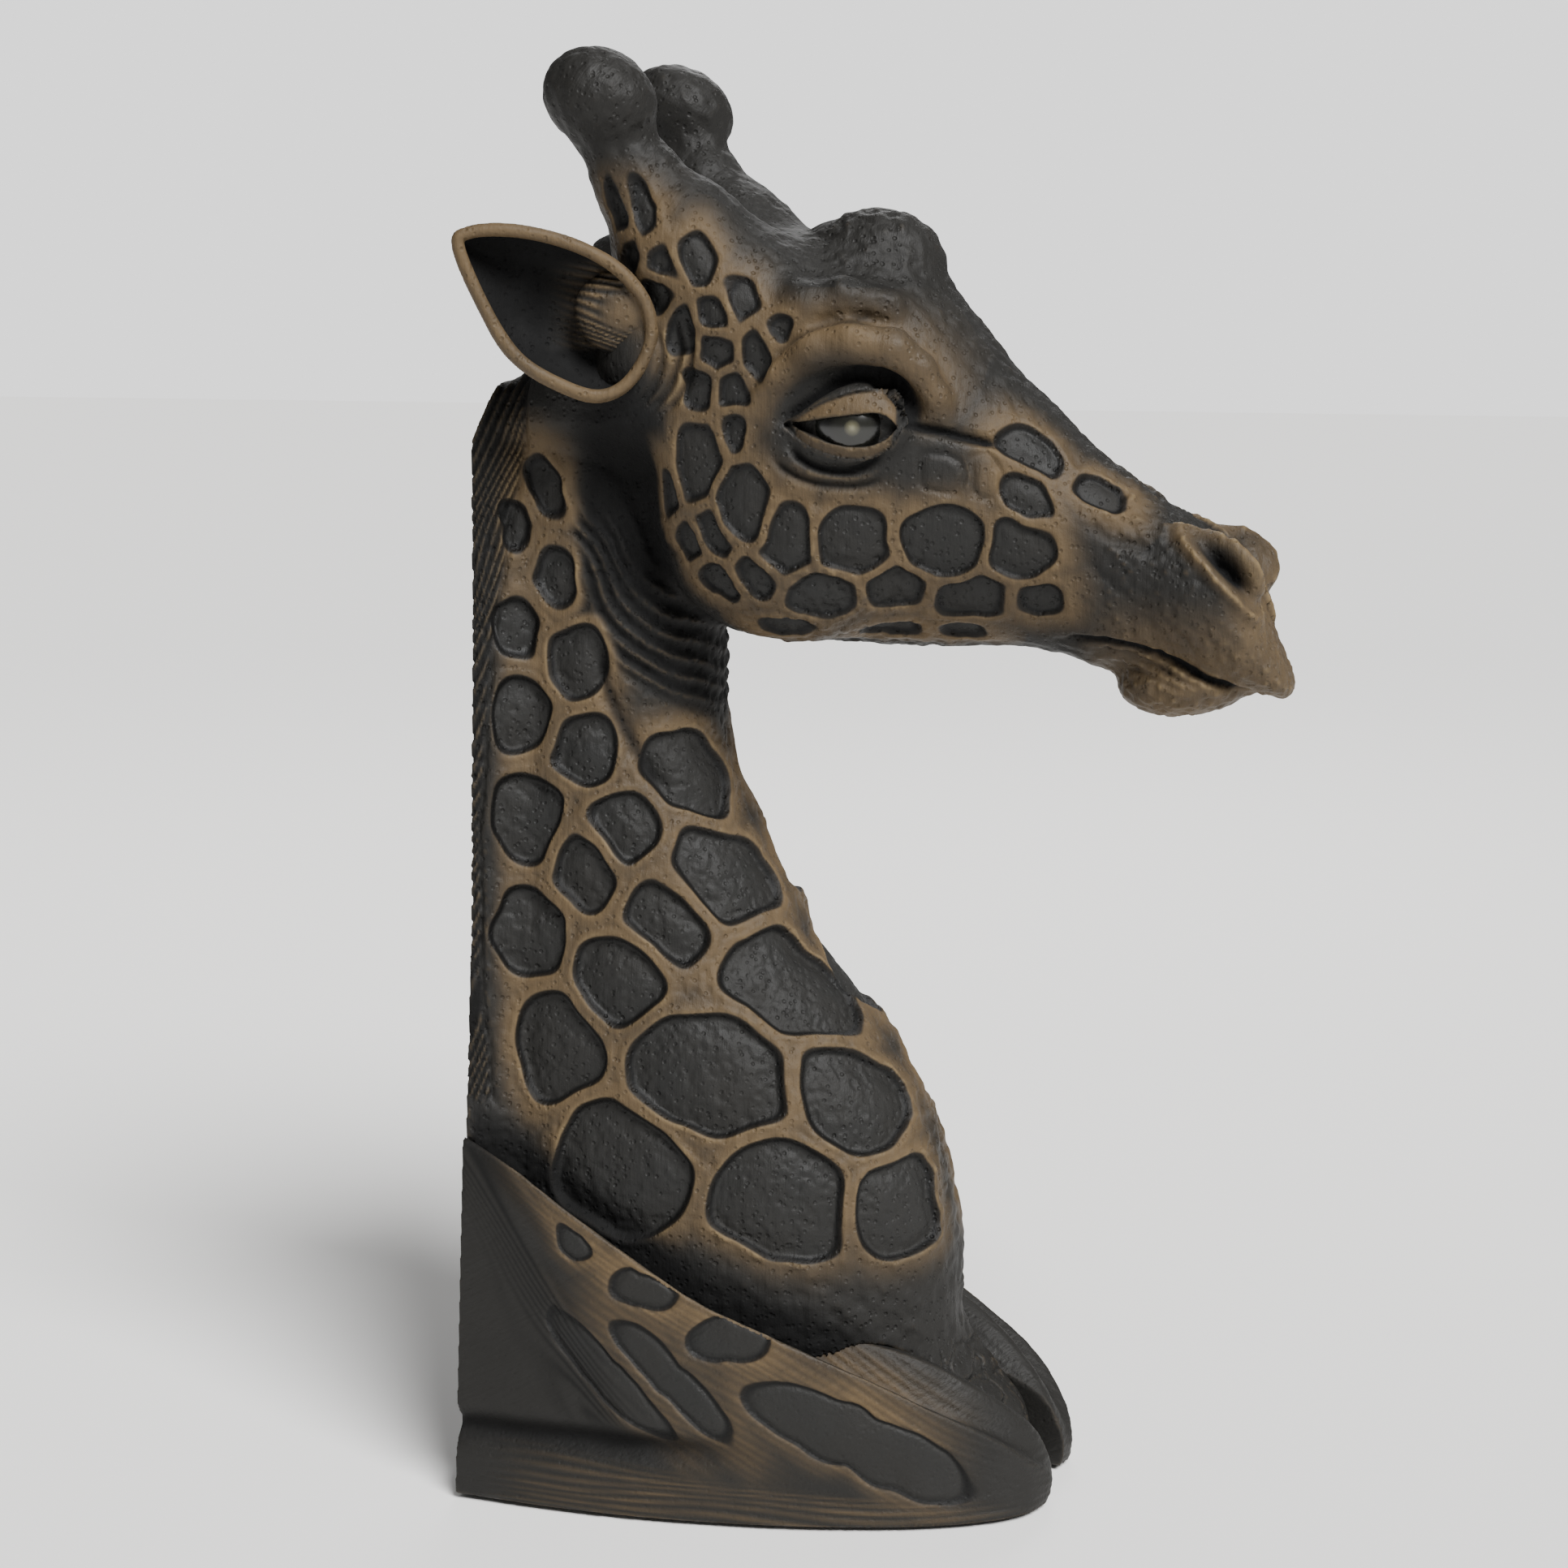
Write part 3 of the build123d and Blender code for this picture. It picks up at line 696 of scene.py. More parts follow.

# what the finish needs to know: distance to a cell's edge, rubbed tan ridges, dark recesses, and painted
# shade in the throat and above the legs
cellEdge = np.minimum(faceEdge, neckEdge)
netZone = np.exp(-(np.maximum(faceEdge, 0) / 4.0) ** 2)
netZone = np.maximum(netZone, np.exp(-(np.maximum(neckEdge, 0) / 4.6) ** 2))
rubbed = netZone * 0.95
browLine = [(-25, 268), (-19, 277), (-11, 284.5), (-2, 285.5), (8, 282), (14, 276), (17, 270)]
browAway = nearLine(right, browLine, 9)[0]
rubbed = np.maximum(rubbed, onSide * np.exp(-(browAway / 6.0) ** 2))
rubbed = np.maximum(rubbed, 0.8 * muzzleZone * np.maximum(ramp(222 - z, -6, 14), ramp(x, 79, 90)))
rubbed = np.maximum(rubbed, np.exp(-((nostril - 1.6) / 1.3) ** 2) * 0.9)
socket = ball((x, y, z), (-2, -33, 264), (17, 12, 13))
# painted shade takes the tan off the throat, and tan is also kept off the eye socket and the back edge
rubbed = rubbed * (1 - 0.9 * throatZone) * ramp(socket, -1.5, 1.0) * ramp(x - statueBack, 4, 10)
for under, over, fromX, toX, amount in (("upper", "band", -15, 10, 0.95), ("rim", "lower", -14, 9, 0.55)):
    onLid = np.minimum(z - curveThrough(lids[under], x), curveThrough(lids[over], x) - z)
    onLid = np.minimum(onLid, np.minimum(x - fromX, toX - x))
    rubbed = np.maximum(rubbed, amount * ramp(onLid, -0.1, 0.7) * ramp(-y, 29, 31))
# painted shade: behind the jaw and under the ear the throat is darkened and loses its tan
throatShade = ramp(1.2 - np.sqrt(((x + 57) / 15) ** 2 + ((z - 247) / 29) ** 2), 0, 0.5)
aboveLeg = z - curveThrough(foreleg["outerTop"], x)
legShade = ramp(11 - aboveLeg, 0, 10) * ramp(-x, -16, 6) * ramp(x - statueBack, 0.5, 3.0)
rubbed = rubbed * (1 - throatShade * ramp(faceEdge, 3, 5) * ramp(neckEdge, 3, 5))
sootAndShade = np.where(np.abs(cellEdge + 0.2) < 1.8, 0.0, ramp(-proudness, 0.12, 0.50))
sootAndShade = np.maximum(sootAndShade, 0.92 * throatShade * ramp(faceEdge, 1.5, 4.0) * ramp(neckEdge, 1.5, 4.0))
# painted shade over the throat, darkest in the creases of its wrinkles
sootAndShade = np.maximum(sootAndShade, throatZone * (0.45 + 0.5 * (1 - wrinkle)))
sootAndShade = np.maximum(sootAndShade, 0.95 * legShade)
rubbed = rubbed * ramp(330 - z, 4, 18)
rubbed = rubbed * (1 - legShade) * mix(0.35, 1.0, ramp(z, 54, 76))
lineDark = ramp(lineCut, 0.5, 1.6) * onSide
sootAndShade = np.maximum(sootAndShade, lineDark)
sootAndShade = np.maximum(sootAndShade, ramp(-nostril, -0.2, 1.0))
sootAndShade = np.maximum(sootAndShade, maneZone * (0.25 + 0.6 * ramp(1 - strands, 0.3, 0.9)))
layers = {"rubbed": np.clip(rubbed, 0, 1), "edge": cellEdge, "sootAndShade": sootAndShade,
          "worn": ramp(proudness, 0.05, 0.40)}
carving = makeObject("carving", points, quads, layers)

# the glue planes: neck to head, and each horn to its stump
acrossNeck = Vector(headTop["jointTop"]) - Vector(headTop["jointFoot"])
intoHead = Vector((acrossNeck.z, 0, -acrossNeck.x))
neckPiece = cutPiece(carving, "neck_and_chest_carved", [(headTop["jointFoot"], -intoHead, 0)])
headPiece = cutPiece(carving, "head_with_horns", [(headTop["jointFoot"], intoHead, 0)])
hornPlanes = []
hornPieces = []
for name, side in (("horn_right_carved", -1), ("horn_left_carved", 1)):
    root, tip = (Vector((p[0], side * p[1], p[2])) for p in (headTop["hornRoot"], headTop["hornTip"]))
    hornCut = root + (tip - root) * headTop["hornCutAt"]
    hornPieces.append(cutPiece(headPiece, name, [(hornCut, tip - root, 0), ((0, 0, 0), (0, side, 0), 0)]))
    hornPlanes.append((hornCut, root - tip, side))
headCarved = cutPiece(headPiece, "head_carved", hornPlanes)
bpy.data.objects.remove(carving)
bpy.data.objects.remove(headPiece)


print("sculpting the forelegs")
step = foreleg["step"]
low = (statueBack - 3 * step, -57.0, floorOfWood - 3 * step)
p = axesOf(low, (52.0, -3.0, 96.0), step)
field = np.broadcast_to(legField(p), (p[0].size, p[1].size, p[2].size)).astype(np.float32)
points, quads = skinOf(field, low, step)
normals = normalsOf(points, quads)
x, y, z = points[:, 0], points[:, 1], points[:, 2]
outerFace = ramp(-normals[:, 1], 0.15, 0.5)
legEdge = cellsOn(points, normals, foreleg["cells"], 2.2, 0.2, 4.0)
cut = (0.5 * ramp(-legEdge, -0.2, 0.8) - 0.25 * ramp(-legEdge, 1.2, 5.0)) * outerFace
cut = cut + 0.6 * np.exp(-((legEdge + 0.45) / 0.5) ** 2) * outerFace
topEdge = curveThrough(foreleg["outerTop"], x) - z
shinZone = ramp(17.5 - z - 0.09 * (x + 96), -1.5, 1.5)
sideGrain = combed(points, (0.86, -0.5), 1.9, 61, 0.7)
sideGrain = sideGrain * (0.5 + 0.5 * combed(points, (0.84, -0.54), 3.4, 62, 0.8))
kneeGrain = combed(points[:, [0, 2, 1]], (1.0, 0.16), 2.1, 60, 0.7)
ridgeGrain = mix(sideGrain, kneeGrain, ramp(normals[:, 2], 0.55, 0.85))
levelGrain = combed(points, (1.0, -0.03), 1.9, 63, 0.5)
levelGrain = levelGrain * (0.5 + 0.5 * combed(points, (1.0, -0.06), 3.3, 64, 0.6))
onRidge = ramp(x + 0.55 * z, -45, -30)
grainCut = mix(0.26 * (1 - ridgeGrain) * ramp(16 - topEdge, 0, 12), 0.34 * (1 - levelGrain), shinZone)
calm = (1 - ramp(-legEdge, 0, 0.6)) * mix(1.0, 0.4, ramp(normals[:, 2], 0.5, 0.85))
cut = cut + grainCut * calm * ramp(x + 96, 2, 14) * mix(0.25, 1.0, np.maximum(onRidge, shinZone))
cut = cut + 0.4 * (0.5 - cloud(points, (12, 12, 9), 65)) + 0.15 * (0.5 - cloud(points, 4, 67))
flat = (x < statueBack + 0.35) | (z < floorOfWood + 0.35) | (cheekAt(x) + y > -0.5)
cut = np.where(flat, 0.0, cut)
points = points - normals * cut[:, None]
normals = normalsOf(points, quads)
proudness = wornLayer(points, quads, normals, 6)
ridgeRub = np.exp(-((topEdge - 4.0) / 5.5) ** 2)
ridgeRub = ridgeRub + 0.7 * np.exp(-(np.maximum(legEdge, 0) / 2.6) ** 2) * outerFace
rubbed = 0.9 * ridgeRub * onRidge * ramp(34 - x, 0, 26)
rubbed = rubbed * (0.55 + 0.6 * ridgeGrain)
rubbed = rubbed + 0.62 * shinZone * ramp(x + 96, 6, 34) * levelGrain * ramp(42 - x, 0, 20)
rubbed = rubbed * ramp(-normals[:, 1], -0.1, 0.35)
sootAndShade = np.where(np.abs(legEdge) < 1.5, 0.0, ramp(-proudness, 0.10, 0.45))
topShade = 0.8 * ramp(normals[:, 2], 0.45, 0.8) * ramp(topEdge, 2, 6)
sootAndShade = np.maximum(sootAndShade, topShade * (0.4 + 0.6 * (1 - ridgeGrain)))
strokes = 1 - combed(points, (0.62, -0.78), 2.3, 69, 1.8)
sootAndShade = np.maximum(sootAndShade, 0.75 * strokes ** 2 * np.exp(-((x + 0.55 * z + 44) / 9) ** 2) * ramp(z, 20, 28))
sootAndShade = np.maximum(sootAndShade, np.exp(-((z - 18.5) / 3.6) ** 2) * ramp(-x, 14, 48) * outerFace * 0.85)
layers = {"rubbed": np.clip(rubbed, 0, 1), "edge": np.where(outerFace > 0.2, 1.7 * legEdge, 30.0),
          "sootAndShade": sootAndShade, "worn": 0.6 * ramp(proudness, 0.05, 0.40)}
legCarving = makeObject("leg_carving", points, quads, layers)
shinAlong = Vector(foreleg["shinFront"]) - Vector(foreleg["shinBack"])
shinUp = Vector((-shinAlong.z, 0, shinAlong.x))
legRight = cutPiece(legCarving, "foreleg_right_carved", [(foreleg["shinBack"], shinUp, 0)])
shinRight = cutPiece(legCarving, "shin_right_carved", [(foreleg["shinBack"], -shinUp, 0)])
bpy.data.objects.remove(legCarving)
legLeft = mirroredObject(legRight, "foreleg_left_carved")
shinLeft = mirroredObject(shinRight, "shin_left_carved")


print("sculpting the ears")
ear = {
    "step": 0.5,
    "root": (-49.5, -34.2, 278.0),      # centre of the ear's plane at its root
    "sweep": 20.0,                      # degrees that it swings out towards the tip
    # outline from the root round the tip, in the ear's own plane
    "leaf": [(-44.5, 26), (-41, 30.3), (-30, 30.8), (-17, 27.8), (-6, 22), (1, 13.5), (2, 3.5),
             (-3.5, -6), (-11, -9.6), (-20, -7.3), (-31, -0.5), (-38.5, 11)],
    "rim": 1.5, "bowl": 9.0, "back": 12.5,
}


def closedCurve(outline, count):
    ring = list(outline) + list(outline[:3])
    ring = [outline[-1]] + ring
    knots = np.linspace(1, len(outline) + 1, count, endpoint=False)
    return (curveThrough([(i, q[0]) for i, q in enumerate(ring)], knots),
            curveThrough([(i, q[1]) for i, q in enumerate(ring)], knots))


step = ear["step"]
u = np.arange(-50, 8, step, dtype=np.float32)
v = np.arange(-15, 36, step, dtype=np.float32)
w = np.arange(-18, 5, step, dtype=np.float32)
cu, cv = closedCurve(ear["leaf"], 180)
gu, gv = np.meshgrid(u, v, indexing="ij")
leafEdge = np.full(gu.shape, 99.0, dtype=np.float32)
inside = np.zeros(gu.shape, dtype=bool)
for i in range(len(cu)):
    j = (i + 1) % len(cu)
    du, dv = cu[j] - cu[i], cv[j] - cv[i]
    t = np.clip(((gu - cu[i]) * du + (gv - cv[i]) * dv) / (du * du + dv * dv), 0, 1)
    leafEdge = np.minimum(leafEdge, np.hypot(gu - cu[i] - t * du, gv - cv[i] - t * dv))
    crosses = (cv[i] > gv) != (cv[j] > gv)
    inside ^= crosses & (gu < cu[i] + (gv - cv[i]) * du / (dv if abs(dv) > 1e-6 else 1e-6))
leafEdge = np.where(inside, -leafEdge, leafEdge)[:, :, None]
wide = w[None, None, :]
deep = np.clip(-leafEdge / 13.0, 0, 1)
rim = np.hypot(leafEdge + ear["rim"], wide) - ear["rim"]
bowl = wide + ear["bowl"] * np.sqrt(1 - (1 - np.clip((-leafEdge - 1.6) / 12.0, 0, 1)) ** 2)
rear = -wide - ear["back"] * np.sqrt(1 - (1 - deep) ** 2)
field = np.maximum(np.maximum(bowl, rear * 0.8), leafEdge)
field = joinSoft(field, rim, 0.8)
earSpace = (u[:, None, None], v[None, :, None], w[None, None, :])
curl = ball(earSpace, (-5.5, 11, -4.6), (11.5, 10, 4.4))           # tuft inside the bowl
field = joinSoft(field, np.maximum(curl, leafEdge + 1.2), 1.2)
points, quads = skinOf(field.astype(np.float32), (u[0], v[0], w[0]), step)
normals = normalsOf(points, quads)
bowlSide = ramp(normals[:, 2], 0.1, 0.5) * ramp(-points[:, 2], 1.0, 2.5)
hairs = combed(points[:, [0, 2, 1]], (1.0, -0.30), 2.0, 71, 1.4)
hairZone = ramp(normals[:, 2], -0.2, 0.3) * ramp(-points[:, 2], 0.2, 1.2) * ramp(points[:, 0], -26, -10)
hairZone = hairZone * ramp(points[:, 1], 1.0, 3.5) * ramp(24 - points[:, 1], 0, 4)
cut = 0.7 * hairZone * (1 - hairs) + 0.3 * (0.5 - cloud(points, 9, 73))
points = points - normals * cut[:, None]
normals = normalsOf(points, quads)
proudness = wornLayer(points, quads, normals, 5)
rimRub = ramp(points[:, 2], -1.6, 0.2)
outsideEar = ramp(-normals[:, 2], 0.2, 0.6) * ramp(-points[:, 2], 1.0, 3.0)
layers = {"rubbed": np.clip(np.maximum(rimRub, 0.9 * hairZone * hairs), 0, 1) * (1 - outsideEar),
          "edge": np.full(len(points), 30.0),
          "sootAndShade": np.clip(bowlSide * ramp(-points[:, 2], 0.8, 4.0) * (1 - hairZone) * 0.97, 0, 1),
          "worn": ramp(proudness, 0.05, 0.35)}
a = math.radians(ear["sweep"])
level = np.array([math.cos(a), math.sin(a), 0.0])
outward = np.array([math.sin(a), -math.cos(a), 0.0])
placed = np.array(ear["root"]) + points[:, :1] * level + points[:, 1:2] * [[0, 0, 1]]
placed = placed + points[:, 2:3] * outward
earRight = makeObject("ear_right_carved", placed, quads[:, ::-1], layers)
if normalsOf(placed.astype(np.float32), quads)[points[:, 2].argmax()] @ outward > 0:
    earRight.data.flip_normals()
earLeft = mirroredObject(earRight, "ear_left_carved")


print("turning the eyes")
eye = {"centre": (-2.0, -26.5, 263.5), "radius": 10.0, "look": (0.22, -0.97, -0.02)}
work = bmesh.new()
bmesh.ops.create_uvsphere(work, u_segments=96, v_segments=64, radius=eye["radius"] * mm)
turn = Vector((0, 0, 1)).rotation_difference(Vector(eye["look"]))
for vert in work.verts:
    out = vert.co.z / (eye["radius"] * mm)
    vert.co *= 1.0 + 0.035 * max(0.0, out - 0.80) / 0.20         # cornea
    vert.co.rotate(turn)
    vert.co += Vector(eye["centre"]) * mm
for face in work.faces:
    face.smooth = True
eyeMesh = bpy.data.meshes.new("eye_right_ball")
work.to_mesh(eyeMesh)
work.free()
eyeRight = linked("eye_right_ball", eyeMesh)
eyeLeft = mirroredObject(eyeRight, "eye_left_ball")


print("finishing the surfaces")


def linear(hexColour):
    values = [int(hexColour[i:i + 2], 16) / 255 for i in (1, 3, 5)]
    return tuple(v / 12.92 if v <= 0.04045 else ((v + 0.055) / 1.055) ** 2.4 for v in values) + (1.0,)


def add(tree, kind, values=None, links=None):
    # adds one node, sets its properties, and feeds its sockets with plain values or other nodes' outputs
    node = tree.nodes.new(kind)
    for key, value in {**(values or {}), **(links or {})}.items():
        if isinstance(key, str) and hasattr(node, key):
            setattr(node, key, value)
        elif isinstance(value, bpy.types.NodeSocket):
            tree.links.new(value, node.inputs[key])
        else:
            node.inputs[key].default_value = value
    return node


def grow(tree, rows):
    # adds nodes row by row: name, kind, settings and inputs, where a text names the row that feeds it
    # the last row is the shader
    outputs = {}
    for name, kind, settings, inputs in rows:
        links = {key: outputs[v] if isinstance(v, str) else v for key, v in inputs.items()}
        node = add(tree, "ShaderNode" + kind, settings, links)
        outputs[name] = node.outputs[{"TexCoord": "Object", "Attribute": "Fac", "Mix": 2}.get(kind, 0)]
    add(tree, "ShaderNodeOutputMaterial", None, {"Surface": outputs[name]})


def newMaterial(name):
    material = bpy.data.materials.new(name)
    material.use_nodes = True
    tree = material.node_tree
    tree.nodes.clear()
    return material, tree


wax = {
    "skin": "#1c1b19", "tan": "#554631", "tanLight": "#7e6d4f",              # bare skin and rubbed ridges
    "charcoal": "#1b1c1c", "charcoalWarm": "#22201d", "sootAndShade": "#040404",     # cell floors, deep cuts and painted shade
    "bump": 0.85, "shine": 0.26,
}


def waxedWood(name, grainTurn, poreDepth, tanAmount):
    # carved hardwood, stained near black, rubbed back on the ridges to a dull gold, and waxed to a satin
    material, tree = newMaterial(name)
    tones = {key: linear(value) for key, value in wax.items() if isinstance(value, str)}
    times = {"operation": "MULTIPLY", "use_clamp": True}
    plus = {"operation": "ADD", "use_clamp": True}
    larger = {"operation": "MAXIMUM", "use_clamp": True}
    blend = {"data_type": "RGBA"}
    # smooth steps of a value are nodes, so that edges stay crisp between mesh points
    rising = {"interpolation_type": "SMOOTHSTEP"}
    falling = {"interpolation_type": "SMOOTHSTEP", "To Min": 1.0, "To Max": 0.0}
    grow(tree, [
        ("rubbed", "Attribute", {"attribute_name": "rubbed"}, {}),
        ("edge", "Attribute", {"attribute_name": "edge"}, {}),
        ("sootAndShade", "Attribute", {"attribute_name": "sootAndShade"}, {}),
        ("worn", "Attribute", {"attribute_name": "worn"}, {}),
        # fibres 1.1 mm wide and 11 mm long, patches of 18 mm, grit of 1.5 mm and pores 1.9 mm apart
        # grit and pores are drawn coarser than the real ones, which would not show
        ("place", "TexCoord", None, {}),
        ("turned", "Mapping", {"Rotation": (0, math.radians(grainTurn), 0)}, {"Vector": "place"}),
        ("stretched", "Mapping", {"Scale": (90, 420, 900)}, {"Vector": "turned"}),
        ("fibre", "TexNoise", {"Scale": 1.0, "Detail": 4.0, "Roughness": 0.6}, {"Vector": "stretched"}),
        ("patchy", "TexNoise", {"Scale": 55.0, "Detail": 5.0, "Roughness": 0.62}, {"Vector": "place"}),
        ("fine", "TexNoise", {"Scale": 650.0, "Detail": 3.0, "Roughness": 0.6}, {"Vector": "place"}),
        ("pores", "TexVoronoi", {"Scale": 520.0}, {"Vector": "place"}),
        # tan on the rubbed and worn ridges, in blotches and streaks
        ("blotches", "MapRange", {**rising, "From Min": 0.34, "From Max": 0.60}, {"Value": "patchy"}),
        ("mottle", "Math", times, {0: "blotches", 1: 0.38}),
        ("streak", "Math", times, {0: "fibre", 1: 0.45}),
        ("uneven", "Math", plus, {0: "mottle", 1: "streak"}),
        ("cover", "Math", plus, {0: "uneven", 1: 0.42}),
        ("rub", "Math", times, {0: "rubbed", 1: tanAmount}),
        ("rubTan", "Math", times, {0: "rub", 1: "cover"}),
        ("wornTan", "Math", times, {0: "worn", 1: 0.35}),
        ("tanHere", "Math", plus, {0: "rubTan", 1: "wornTan"}),
        ("paler", "Math", times, {0: "worn", 1: "fibre"}),
        ("tan", "Mix", blend, {0: "paler", 6: tones["tan"], 7: tones["tanLight"]}),
        ("ridges", "Mix", blend, {0: "tanHere", 6: tones["skin"], 7: "tan"}),
        # charcoal on the cell floors
        ("floorTone", "Mix", blend, {0: "patchy", 6: tones["charcoal"], 7: tones["charcoalWarm"]}),
        ("inCell", "MapRange", {**falling, "From Min": -0.75, "From Max": -0.25}, {"Value": "edge"}),
        ("stained", "Mix", blend, {0: "inCell", 6: "ridges", 7: "floorTone"}),
        # dark in the hollows, painted shade in the throat and above the legs, specks in scattered pores,
        # and painted shade on the cell walls
        ("specks", "MapRange", {**falling, "From Min": 0.10, "From Max": 0.34}, {"Value": "pores"}),
        ("grit", "MapRange", {**rising, "From Min": 0.44, "From Max": 0.62}, {"Value": "fine"}),
        ("scattered", "Math", times, {0: "specks", 1: "grit"}),
        ("speckle", "Math", times, {0: "scattered", 1: 0.42 * poreDepth}),
        ("cutDark", "Math", plus, {0: "sootAndShade", 1: "speckle"}),
        ("wallFoot", "MapRange", {**rising, "From Min": -1.5, "From Max": -0.6}, {"Value": "edge"}),
        ("wallTop", "MapRange", {**falling, "From Min": -0.2, "From Max": 0.3}, {"Value": "edge"}),
        ("wall", "Math", times, {0: "wallFoot", 1: "wallTop"}),
        ("wallShade", "Math", times, {0: "wall", 1: 0.93}),
        ("shade", "Math", larger, {0: "cutDark", 1: "wallShade"}),
        ("colour", "Mix", blend, {0: "shade", 6: "stained", 7: tones["sootAndShade"]}),
        # patchy sheen, duller in the cuts
        ("sheen", "MapRange", {"From Min": 0.3, "From Max": 0.7, "To Min": 0.52, "To Max": 0.72},
         {"Value": "patchy"}),
        ("cutDull", "Math", times, {0: "sootAndShade", 1: 0.25}),
        ("rough", "Math", plus, {0: "sheen", 1: "cutDull"}),
        # fine bumps from grit and fibres, less the pores
        ("gritHeight", "Math", times, {0: "fine", 1: 0.5}),
        ("fibreHeight", "Math", times, {0: "fibre", 1: 0.6}),
        ("raised", "Math", {"operation": "ADD"}, {0: "gritHeight", 1: "fibreHeight"}),
        ("sunk", "Math", times, {0: "specks", 1: poreDepth}),
        ("height", "Math", {"operation": "SUBTRACT"}, {0: "raised", 1: "sunk"}),
        ("bump", "Bump", {"Strength": wax["bump"], "Distance": 0.0005}, {"Height": "height"}),
        ("shader", "BsdfPrincipled", {"IOR": 1.48, "Specular IOR Level": wax["shine"]},
         {"Base Color": "colour", "Roughness": "rough", "Normal": "bump"}),
    ])
    return material


def polishedStone():
    # a polished dark olive stone bead: glassy, with a light core painted as a catch light and a paler
    # ring where it looks out
    material, tree = newMaterial("polished_dark_agate")
    place = add(tree, "ShaderNodeTexCoord").outputs["Object"]
    look = Vector(eye["look"]).normalized()
    pole = (Vector(eye["centre"]) + look * eye["radius"]) * mm
    # both eyes share this material: the left one is the right one's mirror image about Y = 0
    sides = add(tree, "ShaderNodeSeparateXYZ", None, {0: place})
    mirroredY = add(tree, "ShaderNodeMath", {"operation": "ABSOLUTE"}, {0: sides.outputs[1]}).outputs[0]
    same = add(tree, "ShaderNodeCombineXYZ", None,
               {0: sides.outputs[0], 1: mirroredY, 2: sides.outputs[2]})
    away = add(tree, "ShaderNodeVectorMath", {"operation": "DISTANCE", 1: (pole.x, -pole.y, pole.z)},
               {0: same.outputs[0]})
    ring = add(tree, "ShaderNodeMapRange", {"From Max": 0.009}, {"Value": away.outputs["Value"]})
    irisAndGlint = add(tree, "ShaderNodeValToRGB", None, {"Fac": ring.outputs[0]})
    stops = irisAndGlint.color_ramp
    # painted highlight: the pale first stop is a catch light at the middle of the eye's gaze
    stops.elements[0].color = linear("#8a8770")
    stops.elements[1].color = linear("#1c1d1a")
    for position, colour in ((0.10, "#5e5b48"), (0.22, "#1c1c17"), (0.52, "#171712"), (0.66, "#080806")):
        stops.elements.new(position).color = linear(colour)
    # veins about 2.4 mm across
    veins = add(tree, "ShaderNodeTexNoise", {"Scale": 420.0, "Detail": 4.0}, {"Vector": place}).outputs[0]
    colour = add(tree, "ShaderNodeMix", {"data_type": "RGBA", "blend_type": "MULTIPLY", 0: 0.5},
                 {6: irisAndGlint.outputs[0], 7: veins})
    rough = add(tree, "ShaderNodeMapRange", {"To Min": 0.18, "To Max": 0.32}, {"Value": veins})
    gloss = {"IOR": 1.54, "Coat Weight": 0.12, "Coat Roughness": 0.12}
    shader = add(tree, "ShaderNodeBsdfPrincipled", gloss,
                 {"Base Color": colour.outputs[2], "Roughness": rough.outputs[0]})
    add(tree, "ShaderNodeOutputMaterial", None, {"Surface": shader.outputs[0]})
    return material


# looks of the hidden pieces
hiddenLooks = {
    # bare turned beech: pale, straight-grained and matt, with fibres 1.1 mm wide and 8 mm long
    "turned_beech": {"stretch": (900, 900, 120), "detail": 3.0, "tangle": 0.0, "dark": "#b98a58",
                     "pale": "#d8b07c", "bump": 0.3, "bumpDepth": 0.0002, "rough": (0.5, 0.7),
                     "shader": {"IOR": 1.5}},
    # black pressed wool felt: matt, with a soft tangle of fibres about 1.1 mm across
    "pressed_wool_felt": {"stretch": (900, 900, 900), "detail": 5.0, "tangle": 1.5, "dark": "#141413",
                          "pale": "#2e2d2a", "bump": 0.6, "bumpDepth": 0.0003, "rough": (0.85, 1.0),
                          "shader": {"Sheen Weight": 0.4}},
}


def hiddenSurface(name):
    # one grain drives the colour, the roughness and the fine bumps
    look = hiddenLooks[name]
    material, tree = newMaterial(name)
    grain = {"Scale": 1.0, "Detail": look["detail"], "Distortion": look["tangle"]}
    dark, pale = linear(look["dark"]), linear(look["pale"])
    sheen = {"To Min": look["rough"][0], "To Max": look["rough"][1]}
    grow(tree, [
        ("place", "TexCoord", None, {}),
        ("stretched", "Mapping", {"Scale": look["stretch"]}, {"Vector": "place"}),
        ("grain", "TexNoise", grain, {"Vector": "stretched"}),
        ("colour", "Mix", {"data_type": "RGBA"}, {0: "grain", 6: dark, 7: pale}),
        ("bump", "Bump", {"Strength": look["bump"], "Distance": look["bumpDepth"]}, {"Height": "grain"}),
        ("rough", "MapRange", sheen, {"Value": "grain"}),
        ("shader", "BsdfPrincipled", look["shader"],
         {"Base Color": "colour", "Roughness": "rough", "Normal": "bump"}),
    ])
    return material


bodyWax = waxedWood("waxed_carved_hardwood", 90.0, 0.55, 1.0)
legWax = waxedWood("waxed_hardwood_leg", 30.0, 0.15, 1.0)
shinWax = waxedWood("waxed_hardwood_shin", 0.0, 0.15, 1.1)
hornWax = waxedWood("waxed_hardwood_horn", 62.0, 0.5, 1.0)
stone, beech, felt = polishedStone(), hiddenSurface("turned_beech"), hiddenSurface("pressed_wool_felt")

